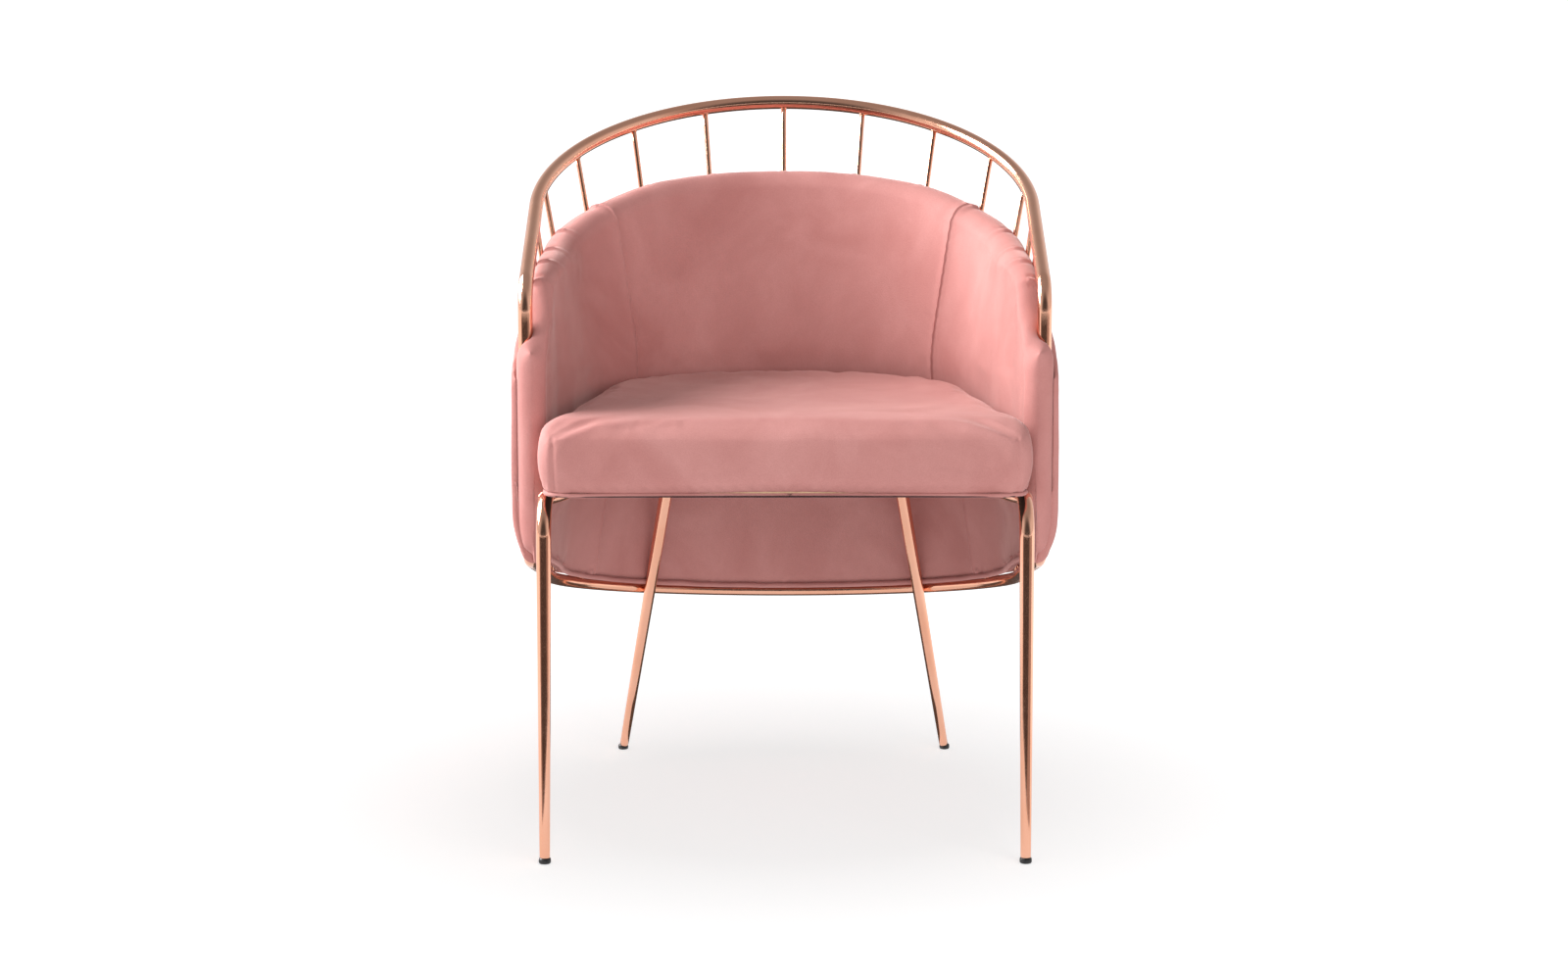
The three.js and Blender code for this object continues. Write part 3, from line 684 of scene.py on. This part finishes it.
# ---- shell pads ----

def nose(distance, tip_y, length):
    """Rounds the front end of a pad: 0 at its tip, 1 where it is fully thick."""
    return quarter_circle(np.clip((plan_y(distance) - tip_y) / length, 0, 1))


def pinch(distance, width):
    """1 at each rod, 0 between them."""
    d = np.abs(distance)
    return sum(bump(d - rod, width) for rod in ROD_STEPS)


def post_pinch(distance):
    """1 beside the post, 0 away from it."""
    return smooth(1 - np.abs(plan_y(distance) - POST_Y) / 0.014) * (np.abs(distance) > REACH - 0.08)


def slot_edge(distance):
    """How far each pad's lip stays from the shell's middle, where it closes round the rods and the post."""
    at_rods = np.minimum(1, pinch(distance, 0.0035))
    return LIP["gap"] + LIP["rod"] * at_rods + LIP["post"] * post_pinch(distance)


def inner_face(distance, z):
    """Depth of the inner pad's velvet face from the cage's surface."""
    d = np.abs(distance)
    full = lerp(INNER_PAD, 0.022, smooth((d - REACH + 0.120) / 0.110))
    thin = lerp(0.009, 0.006, smooth((d - REACH + 0.200) / 0.150))
    return clearance(d) + BOARD + lerp(thin, full, smooth((z - 0.340) / 0.065))


def foot_round(distance, z):
    """Draws in the lower end of the front roll: 0 at its lowest point, 1 above it and away from the front."""
    rise = np.clip((z - shell_z(distance, 0)) / 0.060, 0, 1)
    front = smooth((0.170 - plan_y(distance)) / 0.055)
    return lerp(1, quarter_circle(rise), front)


def inner_section(distance, z):
    """Depths of the inner pad at heights z: its face, its lip and its hidden back."""
    round_front = nose(distance, SHELL_FRONT_Y, ROLL_BACK_Y - SHELL_FRONT_Y)
    face = lerp(ROLL_TIP, inner_face(distance, z), nose(distance, SHELL_FRONT_Y, 0.058))
    side = lerp(ROLL_TIP - 0.003, ROLL_SIDE, foot_round(distance, z))
    wrapped = lerp(ROLL_TIP, side, round_front)
    front = smooth((ROLL_BACK_Y - plan_y(distance)) / 0.004)
    lip = lerp(slot_edge(distance), wrapped, front)
    back = lerp(clearance(distance) + BOARD, wrapped, front)
    return face, lip, back


def outer_section(distance, z):
    """Depths of the outer pad: its face, its lip (beside the roll in front) and its hidden back."""
    round_front = nose(distance, OUTER_TIP_Y, OUTER_TIP)
    d = np.abs(distance)
    full = clearance(d) + lerp(OUTER_PAD, 0.0102, smooth((d - REACH + 0.120) / 0.090))
    full = full + 0.0030 * bump(z - 0.415, 0.075) * smooth((0.260 - plan_y(d)) / 0.100)
    foot = foot_round(d, z)
    beside_roll = lerp(-ROLL_TIP + 0.0020, -ROLL_SIDE - SEWN, foot)
    face = lerp(beside_roll + 0.0012, lerp(-ROLL_TIP + 0.0060, full, foot), round_front)
    front = smooth((0.114 - plan_y(distance)) / 0.006)
    lip = lerp(slot_edge(distance), beside_roll, front)
    back = lerp(clearance(d) + BOARD, beside_roll, front)
    return face, lip, back


def pad_columns(front_y, tip_length):
    """Distances of a pad's columns along the shell: closer together at the seams and round the tips."""
    end = REACH + POST_Y - front_y
    straight_end = end - tip_length
    even = np.linspace(0, straight_end, round(straight_end / 0.0044))
    even = even[np.abs(even - SEAM) > 0.0052]
    near_seam = SEAM + np.array([-0.0048, -0.0030, -0.0016, -0.0006, 0.0006, 0.0016, 0.0030, 0.0048])
    angles = np.linspace(math.pi / 2, 0.16, 9)[1:]
    round_tip = end - tip_length * (1 - np.cos(angles))
    half = np.sort(np.concatenate([even, near_seam, round_tip]))
    return np.concatenate([-half[:0:-1], half])


def pad_loops(distance, section, lower):
    """Heights and depths of a pad's closed section, one row for each column."""
    d = distance[:, None]
    top = shell_z(d, 1, lower)
    bottom = shell_z(d, 0)
    height = top - bottom
    ahead = smooth((ROLL_BACK_Y + 0.003 - plan_y(d)) / 0.008) * (1 - lower)
    board_top, board_bottom = 0.05 * height + 0.018 * ahead, 0.06 * height
    rows = []

    def depth_at(index, z):
        return section(d, z)[index]

    def add(z, depth):
        rows.append((z, depth))

    def crest(z):
        """Depth of the ridge that runs along the pad's rounded edge."""
        face, lip, _ = section(d, z)
        lip = np.where(plan_y(d) > 0.116, LIP["gap"] + LIP["post"] * post_pinch(d), lip)
        return lip + CREST * (face - lip)

    z = lerp(bottom + BOTTOM_ROUND, top - TOP_ROUND, np.linspace(0, 1, FACE_ROWS)[None, :])
    add(z, depth_at(0, z))
    a = np.linspace(0, math.pi / 2, TOP_ROWS + 1)[None, 1:]
    face = depth_at(0, top - TOP_ROUND)
    add(top - TOP_ROUND + TOP_ROUND * np.sin(a), crest(top) + (face - crest(top)) * np.cos(a))
    a = np.linspace(0, math.pi / 2, 7)[None, 1:]
    back_round = 0.0225 * height + 0.016 * ahead
    lip = depth_at(1, top)
    add(top - back_round + back_round * np.cos(a), crest(top) - (crest(top) - lip) * np.sin(a))
    add(lerp(top - back_round, top - board_top, 0.6), lip)
    z = lerp(top - board_top, bottom + board_bottom, np.linspace(0, 1, 12)[None, :])
    add(z, depth_at(2, z))
    lip = depth_at(1, bottom)
    add(bottom + 0.8 * board_bottom, lip)
    back_round = 0.35 * board_bottom
    a = np.linspace(0, math.pi / 2, 6)[None, :]
    add(bottom + back_round - back_round * np.sin(a), crest(bottom) - (crest(bottom) - lip) * np.cos(a))
    a = np.linspace(0, math.pi / 2, 7)[None, 1:-1]
    face = depth_at(0, bottom + BOTTOM_ROUND)
    add(bottom + BOTTOM_ROUND - BOTTOM_ROUND * np.cos(a), crest(bottom) + (face - crest(bottom)) * np.sin(a))
    return [np.concatenate([np.broadcast_to(r[i], (len(distance), r[0].shape[1])) for r in rows], axis=1)
            for i in (0, 1)]


def zipped(chain_a, chain_b):
    """Triangles between two chains of vertices that start and end together."""
    faces = []
    i = j = 0
    last_a, last_b = len(chain_a) - 1, len(chain_b) - 1
    while i < last_a or j < last_b:
        if j == last_b or (i < last_a and (i + 1) / last_a <= (j + 1) / last_b):
            faces.append((chain_a[i], chain_a[i + 1], chain_b[j]))
            i += 1
        else:
            faces.append((chain_a[i], chain_b[j + 1], chain_b[j]))
            j += 1
    return faces


def pad_mesh(name, section, side, front_y, tip_length, shrink=0.0):
    """A pad as one closed grid; side is -1 for the inner, 1 for the outer; shrink leaves room to swell."""
    distance = pad_columns(front_y, tip_length)
    lower = 1.0 if side > 0 else 0.0

    def smaller(d, z):
        face, lip, back = section(d, z)
        return face - shrink, lip, back

    z, depth = pad_loops(distance, smaller, lower)
    columns, rows = z.shape
    points = offset(np.repeat(distance[:, None], rows, 1), z, side * depth)
    faces = tube_faces(columns, rows)
    crest_row = FACE_ROWS + TOP_ROWS - 1
    first = [list(range(0, crest_row + 1)), [0, *range(rows - 1, crest_row - 1, -1)]]
    last = [[(columns - 1) * rows + k for k in chain] for chain in first]
    faces.extend(zipped(first[1], first[0]))
    faces.extend(zipped(last[0], last[1]))
    if side > 0:
        faces = [f[::-1] for f in faces]
    pad = mesh_object(name, points.reshape(-1, 3), faces, VELVET)
    mark(pad, "along", np.repeat(distance[:, None], rows, 1).ravel())
    mark(pad, "row", np.tile(np.arange(rows, dtype=float), columns))
    bottom, top = shell_z(distance[:, None], 0), shell_z(distance[:, None], 1, lower)
    mark(pad, "height", ((z - bottom) / (top - bottom)).ravel())
    return pad, rows


def mark(made, name, values):
    """Keeps a number on each vertex, which subdivision carries on to the new ones."""
    layer = made.data.attributes.new(name, "FLOAT", "POINT")
    layer.data.foreach_set("value", np.asarray(values, dtype=np.float32))


def marks(made, name):
    values = np.empty(len(made.data.vertices), np.float32)
    made.data.attributes[name].data.foreach_get("value", values)
    return values.astype(float)


def vectors(mesh, kind="co"):
    """The places ("co") or the normals ("normal") of a mesh's vertices."""
    flat = np.empty(len(mesh.vertices) * 3, np.float32)
    mesh.vertices.foreach_get(kind, flat)
    return flat.reshape(-1, 3).astype(float)


def move_to(made, points):
    made.data.vertices.foreach_set("co", np.asarray(points, np.float32).ravel())
    made.data.update()


# ---- cloth ----

CLOTH = {"quality": 5, "mass": 0.3, "tension_stiffness": 12, "compression_stiffness": 12,
         "shear_stiffness": 6, "bending_stiffness": 1.2, "use_pressure": True,
         "uniform_pressure_force": 4.0, "vertex_group_mass": "held", "pin_stiffness": 2.0}
CLOTH_FRAMES = 20


def swell(made, held, cap):
    """Blows the velvet up as cloth with pressure inside. held is 1 where it is sewn or glued down."""
    start = vectors(made.data)
    group = made.vertex_groups.new(name="held")
    for level in np.unique(np.round(held, 1)):
        if level > 0:
            members = np.nonzero(np.round(held, 1) == level)[0]
            group.add([int(i) for i in members], float(level), "REPLACE")
    cloth = made.modifiers.new("cloth", "CLOTH")
    for key, value in CLOTH.items():
        setattr(cloth.settings, key, value)
    cloth.settings.effector_weights.gravity = 0
    cloth.collision_settings.use_collision = False
    scene = bpy.context.scene
    cloth.point_cache.frame_start, cloth.point_cache.frame_end = 1, CLOTH_FRAMES
    for f in range(1, CLOTH_FRAMES + 1):
        scene.frame_set(f)
    swollen = made.evaluated_get(bpy.context.evaluated_depsgraph_get())
    moved = vectors(swollen.data) - start
    made.modifiers.remove(cloth)
    scene.frame_set(1)
    length = np.linalg.norm(moved, axis=1, keepdims=True)
    limited = cap * np.tanh(length / cap)
    move_to(made, start + moved * limited / np.maximum(length, 1e-9))
    made.vertex_groups.clear()


def applied(made):
    """Makes the modifiers' result the object's own mesh, shaded smooth."""
    bpy.context.view_layer.update()
    result = bpy.data.meshes.new_from_object(made.evaluated_get(bpy.context.evaluated_depsgraph_get()))
    made.modifiers.clear()
    old = made.data
    made.data = result
    bpy.data.meshes.remove(old)
    result.polygons.foreach_set("use_smooth", [True] * len(result.polygons))


def subdivided(made):
    """Applies one level of subdivision."""
    modifier = made.modifiers.new("round", "SUBSURF")
    modifier.levels = modifier.render_levels = 1
    applied(made)


def soft_noise(points, scale, seed):
    """Smooth noise from -1 to 1 at each point."""
    shift = Vector((seed, 2.3 * seed, -seed))
    return np.array([noise.noise(Vector(p) * scale + shift) for p in points])


# ---- the two pads of the shell ----

def seam_depth(distance):
    """Valley of a sewn seam: a sharp fold in a wider soft dip."""
    d = np.abs(distance) - SEAM
    return 0.0019 * bump(d, 0.0016) + 0.0013 * bump(d, 0.009)


def pucker_depth(distance, lip_distance):
    """Short folds that run in from each rod, where the lip is drawn round it; deepest along the arms."""
    d = np.abs(distance)
    total = 0 * d
    for i, rod in enumerate(ROD_STEPS):
        strength = 0.0011 if i < 3 else 0.0042
        width = 0.0030 + 0.09 * lip_distance
        fade = np.exp(-np.maximum(0, lip_distance) / 0.007)
        fold = bump(d - rod, width) - 0.4 * bump(np.abs(d - rod) - 2.1 * width, width)
        total = total + strength * fade * fold
    return total


def finish_pad(pad, side, rows, face_cap):
    """Swells the face between its sewn edges, then sets in the seams and the puckers."""
    row, distance, height = (marks(pad, name) for name in MARKS)
    on_face = (row < FACE_ROWS + TOP_ROWS - 4) | (row > rows - 4)
    upper_edge = smooth(1 - (1 - height) / 0.05) * 0.6
    lower_edge = smooth(1 - height / 0.04) * 0.9
    seam = bump(np.abs(distance) - SEAM, 0.003)
    tip = smooth((np.abs(distance) - REACH - 0.012) / 0.006) * 0.9
    held = np.where(on_face, 0.0, 1.0)
    swell(pad, np.maximum.reduce([held, upper_edge, lower_edge, seam, tip]), face_cap)
    subdivided(pad)
    row, distance, _ = (marks(pad, name) for name in MARKS)
    points, normal = vectors(pad.data), vectors(pad.data, "normal")
    top = shell_z(distance, 1, 1.0 if side > 0 else 0.0)
    lip_distance = np.where(row < FACE_ROWS + TOP_ROWS - 1, 0.012 + np.maximum(0, top - points[:, 2]), 0.004)
    face = smooth((FACE_ROWS + TOP_ROWS + 5 - row) / 4) + smooth((row - rows + 8) / 4)
    depth = seam_depth(distance) + pucker_depth(distance, lip_distance)
    ripple = 0.0004 * np.sin(2 * math.pi * points[:, 2] / 0.013) * bump(np.abs(distance) - SEAM, 0.008)
    unevenness = 0.0009 * soft_noise(points, 13, 3.0 + side) + 0.0004 * soft_noise(points, 34, 9.0)
    points = points + normal * (np.clip(face, 0, 1) * (unevenness + ripple - depth))[:, None]
    move_to(pad, points)
    for name in MARKS:
        pad.data.attributes.remove(pad.data.attributes[name])


def shell_pads():
    panels = ("left", "centre", "right")
    inner, rows = pad_mesh("inner_pad_velvet", inner_section, -1, SHELL_FRONT_Y,
                           ROLL_BACK_Y - SHELL_FRONT_Y, shrink=0.003)
    finish_pad(inner, -1, rows, 0.005)
    piece(inner, "velvet", *(f"shell_inner_pad_{word}" for word in panels))
    outer, rows = pad_mesh("outer_pad_velvet", outer_section, 1, OUTER_TIP_Y, OUTER_TIP, shrink=0.0015)
    finish_pad(outer, 1, rows, 0.004)
    piece(outer, "velvet", *(f"shell_outer_pad_{word}" for word in panels))


def lower_welt():
    """Piping that closes the two pads along their lower edge and runs up the inside of the front rolls."""
    end = REACH + POST_Y - 0.100
    distance = np.linspace(-end, end, 260)
    bottom = shell_z(distance, 0)
    depth = inner_section(distance, bottom + BOTTOM_ROUND)[0] - 0.0022
    z = bottom + 0.0002
    path = offset(distance, z, -depth)
    z_up = lerp(float(z[0]), WELT_TOP_Z, np.linspace(0, 1, 30)[1:])
    for side in (-1, 1):
        d = np.full(len(z_up), side * end)
        strand = offset(d, z_up, -(inner_section(d, z_up)[0] + 0.0006))
        path = np.concatenate([strand[::-1], path]) if side < 0 else np.concatenate([path, strand])
    wobble = soft_noise(path, 45, 5.0)
    path[:, 2] += 0.0006 * wobble
    radii = [0.0030 + 0.0003 * float(w) for w in wobble]
    piping("lower_welt", *sweep(path, radii, 14))


def piping(name, vertices, faces):
    welt = mesh_object(name, vertices, faces, WELT)
    piece(welt, "velvet")


# ---- seat cushion ----

def seat_half(inset):
    """Half of the seat's outline in plan, from the middle of the front to the middle of the back."""
    half, corner = SEAT["half"], SEAT["corner"]
    points = [(x, 0.0) for x in np.linspace(0, half - corner, FRONT_STEPS)]
    for angle in np.linspace(0, math.pi / 2, 12)[1:]:
        points.append((half - corner + corner * math.sin(angle), 0.001 + corner * (1 - math.cos(angle))))
    shoulder = [(0.0, 0.058), (0.003, 0.072), (0.011, 0.086), (0.016, 0.100)]
    points.append((half, 0.042))
    points.extend((half - dx, y) for dx, y in shoulder)
    shell_face = INNER_PAD + ROD_CLEAR + BOARD + PAD_GAP
    for k in range(1, 46):
        x, y, _ = offset(REACH * (1 - k / 45), WAIST_Z, -shell_face)
        if y - FRONT > 0.106:
            points.append((float(x), float(y) - FRONT))
    points = np.array(points)
    centre = np.array([0.0, SEAT["middle"]])
    away = points - centre
    reach = np.linalg.norm(away, axis=1, keepdims=True)
    return centre + away * (1 - inset / reach)


def evenly(points, count):
    """The same line as count points at equal steps."""
    run = np.concatenate([[0], np.cumsum(np.linalg.norm(np.diff(points, axis=0), axis=1))])
    steps = np.linspace(0, run[-1], count)
    return np.stack([np.interp(steps, run, points[:, i]) for i in range(points.shape[1])], axis=1)


def seat_ring(inset, z, rise=0.0):
    half = evenly(seat_half(inset), SEAT_STEPS)
    heights = z + rise * (0.6 * smooth(half[:, 1] / 0.045) + 0.4 * smooth((half[:, 1] - 0.050) / 0.100))
    right = np.column_stack([half[:, 0], half[:, 1] + FRONT, heights])
    left = right[-2:0:-1] * np.array([-1, 1, 1])
    return np.concatenate([right, left])


def seat_cushion():
    """Foam under velvet: crowned on top, bowed sides that draw in to a welt, and a recess for its board."""
    bottom, edge, crown = SEAT["bottom"], SEAT["edge"], SEAT["crown"]
    board_inset, board_top = 0.0150, bottom + 0.0136
    # Each ring: how far it is drawn in from the outline, its height, and its rise behind the front edge.
    rings = [(0.205, board_top, 0), (board_inset, board_top, 0), (board_inset, bottom + 0.0005, 0),
             (0.0130, bottom, 0), (0.0108, bottom + 0.002, 0), (0.0078, bottom + 0.008, 0),
             (0.0035, bottom + 0.018, 0.001), (0.0008, bottom + 0.030, 0.003),
             (0.0004, bottom + 0.042, 0.006),
             (0.0022, edge - 0.010, 0.010), (0.0055, edge - 0.0035, 0.013), (0.0115, edge + 0.0005, 0.0145),
             (0.0200, edge + 0.003, 0.014), (0.036, edge + 0.0045, 0.010), (0.070, edge + 0.0075, 0.005),
             (0.120, crown - 0.003, 0.002), (0.170, crown - 0.001, 0), (0.205, crown - 0.001, 0)]
    loops = [seat_ring(*ring) for ring in rings]
    count = len(loops[0])
    vertices = [Vector(p) for loop in loops for p in loop]
    vertices.append(Vector(loops[0].mean(axis=0)))
    vertices.append(Vector(loops[-1].mean(axis=0)))
    cushion = mesh_object("seat_cushion_velvet", vertices, loft_faces(len(loops), count), SEAT_VELVET)
    remeshed(cushion, 0.0045)
    points = vectors(cushion.data)
    over_board = inside_seat(points, 0.009) & (points[:, 2] < board_top + 0.006)
    underside = (points[:, 2] < bottom + 0.004) | over_board
    held = np.where(underside, 1.0, 0.0)
    held = np.maximum(held, 0.7 * smooth(1 - (points[:, 2] - bottom) / 0.010))
    corner = bump(np.hypot(np.abs(points[:, 0]) - 0.250, points[:, 1] - FRONT - 0.008), 0.005)
    held = np.maximum(held, 0.5 * corner)
    swell(cushion, held, 0.0045)
    subdivided(cushion)
    shape_seat(cushion)
    piece(cushion, "velvet", "seat_cushion")


def inside_seat(points, inset):
    """True inside the seat's outline drawn in by inset."""
    half = seat_half(inset)
    y = points[:, 1] - FRONT
    limit = np.interp(y, half[FRONT_STEPS - 1:, 1], half[FRONT_STEPS - 1:, 0])
    return (np.abs(points[:, 0]) < limit) & (y > inset)


def remeshed(made, voxel):
    """Replaces the mesh by one of even squares."""
    modifier = made.modifiers.new("even", "REMESH")
    modifier.mode = "VOXEL"
    modifier.voxel_size = voxel
    applied(made)
    if not made.data.materials:
        made.data.materials.append(SEAT_VELVET)


def shape_seat(cushion):
    """Corner darts, gathers above the welt and the slight unevenness of padding pulled tight by hand."""
    points, normal = vectors(cushion.data), vectors(cushion.data, "normal")
    z, x, y = points[:, 2], np.abs(points[:, 0]), points[:, 1] - FRONT
    band = smooth((z - 0.404) / 0.006)
    dart = 0.0016 * bump(x - (0.2455 + 0.10 * np.maximum(0, z - 0.455)), 0.0022) * smooth((0.030 - y) / 0.010)
    dart = dart * smooth((0.470 - z) / 0.012) * smooth((z - 0.404) / 0.004)
    gather = 0.0007 * np.sin(2 * math.pi * (x + 0.8 * y) / 0.016) * bump(z - 0.406, 0.007) * band
    uneven = 0.0010 * soft_noise(points, 11, 1.0) + 0.0004 * soft_noise(points, 30, 4.0)
    points = points + normal * (band * (uneven + gather) - dart)[:, None]
    move_to(cushion, points)


def seat_welt():
    """Piping along the seat's lower edge."""
    loop = seat_ring(0.0118, SEAT["bottom"] + 0.0004)
    path = evenly(np.concatenate([loop, loop[:2]]), 420)
    path[:, 2] += 0.0003 * soft_noise(path, 40, 7.0)
    piping("seat_welt", *bar(path, 0.0024, 12))


# ---- pieces carried over from the part ----

def carried_finishes():
    slots = {s["node"]: s["material_slot"] for s in frame["record"]["subparts"]}
    for name, node in frame["nodes"].items():
        node.data.materials.clear()
        node.data.materials.append(CARRIED[slots[name]])


# ---- studio ----

CAMERA = {"place": (-0.012, -3.6893, 0.9596), "down": 9.163, "roll": -0.0034, "lens": 75.3,
          "shift": -0.000625}
CARD = {"near": 0.42, "far": 9.0, "height": 0.002, "middle_y": -0.2}
FLOOR_REACH = 120.0
AIM = (0, 0, 0.45)


def area_light(name, place, target, size, power):
    light = bpy.data.lights.new(name, "AREA")
    light.shape = "RECTANGLE"
    light.size, light.size_y = size
    light.energy = power
    made = placed(name, light)
    made.location = place
    made.rotation_euler = (Vector(target) - made.location).to_track_quat("-Z", "Y").to_euler()
    return made


def keep_off(light, floor):
    """The light passes the floor by, so that no long shadow lies beside the chair."""
    passed_by = bpy.data.collections.new("passed_by")
    passed_by.objects.link(floor)
    passed_by.collection_objects[0].light_linking.link_state = "EXCLUDE"
    light.light_linking.receiver_collection = passed_by


def reflection_card(name, from_azimuth, to_azimuth, level):
    """A glowing sector just above the floor that only polished metal sees, a painted reflection that shows as
    dark or grey bands on the tube; azimuths are degrees to the right of the front.
    """
    vertices, faces = [], []
    for azimuth in np.radians(np.linspace(from_azimuth, to_azimuth, 13)):
        for radius in (CARD["near"], CARD["far"]):
            y = CARD["middle_y"] - radius * math.cos(azimuth)
            vertices.append((radius * math.sin(azimuth), y, CARD["height"]))
    for k in range(12):
        faces.append((2 * k, 2 * k + 1, 2 * k + 3, 2 * k + 2))
    card = mesh_object(name, vertices, faces, reflection_card_material(name, level), flat=True)
    for ray in ("camera", "diffuse", "shadow", "transmission"):
        setattr(card, f"visible_{ray}", False)


def studio():
    r = FLOOR_REACH
    corners = [(-r, -r, 0), (r, -r, 0), (r, r, 0), (-r, r, 0)]
    floor = mesh_object("studio_floor", corners, [(0, 1, 2, 3)], floor_material(), flat=True)
    reflection_card("card_front", -52, 40, 0.08)
    reflection_card("card_front_right", 40, 78, 0.42)
    reflection_card("card_front_left", -66, -52, 0.42)
    reflection_card("card_back", 158, 202, 0.10)
    key = area_light("key", (-2.8, 0.70, 2.20), AIM, (2.6, 2.2), 350)
    keep_off(key, floor)
    fill = area_light("fill", (1.6, -3.0, 1.2), AIM, (1.8, 1.4), 30)
    top = area_light("top", (0.3, -0.4, 3.4), (0, 0, 0.4), (2.4, 2.0), 4)
    fill.visible_glossy = top.visible_glossy = False
    world_light()


def world_light():
    """White to the eye, soft from all round on the cloth, and dark in front as the metal mirrors it."""
    world = bpy.data.worlds.new("studio")
    bpy.context.scene.world = world
    n = Nodes("studio", world)
    split = n.node("ShaderNodeSeparateXYZ", {"Vector": n.place})
    ray = n.node("ShaderNodeLightPath")

    def ramp(axis, *limits):
        return n.ramp(split.outputs[axis], *limits, "SMOOTHSTEP")

    def mix(factor, a, b):
        return n.node("ShaderNodeMix", {"Factor": factor, 2: a, 3: b}, data_type="FLOAT").outputs[0]

    on_cloth = ramp("Y", -0.9, 0.3, 0.98, 0.32)
    on_metal = ramp("Y", -0.90, -0.45, 0.07, 0.75)
    around = mix(ray.outputs["Is Glossy Ray"], on_cloth, on_metal)
    upward = ramp("Z", 0.30, 0.85, 1.0, 0.45)
    dimmed = n.node("ShaderNodeMath", {0: around, 1: upward}, operation="MULTIPLY").outputs[0]
    n.set(Color=(1, 1, 1, 1), Strength=mix(ray.outputs["Is Camera Ray"], dimmed, 1.0))


def camera():
    data = bpy.data.cameras.new("camera")
    data.sensor_width = 36
    data.lens = CAMERA["lens"]
    data.shift_x = CAMERA["shift"]
    data.clip_end = 400
    made = placed("camera", data)
    made.location = CAMERA["place"]
    made.rotation_euler = (math.radians(90 - CAMERA["down"]), 0, CAMERA["roll"])
    bpy.context.scene.camera = made


bpy.context.scene.view_settings.view_transform = "Standard"
bpy.context.scene.cycles.use_denoising = True
carried_finishes()
metal_cage()
seat_frame()
legs()
shell_pads()
lower_welt()
seat_cushion()
seat_welt()
studio()
camera()
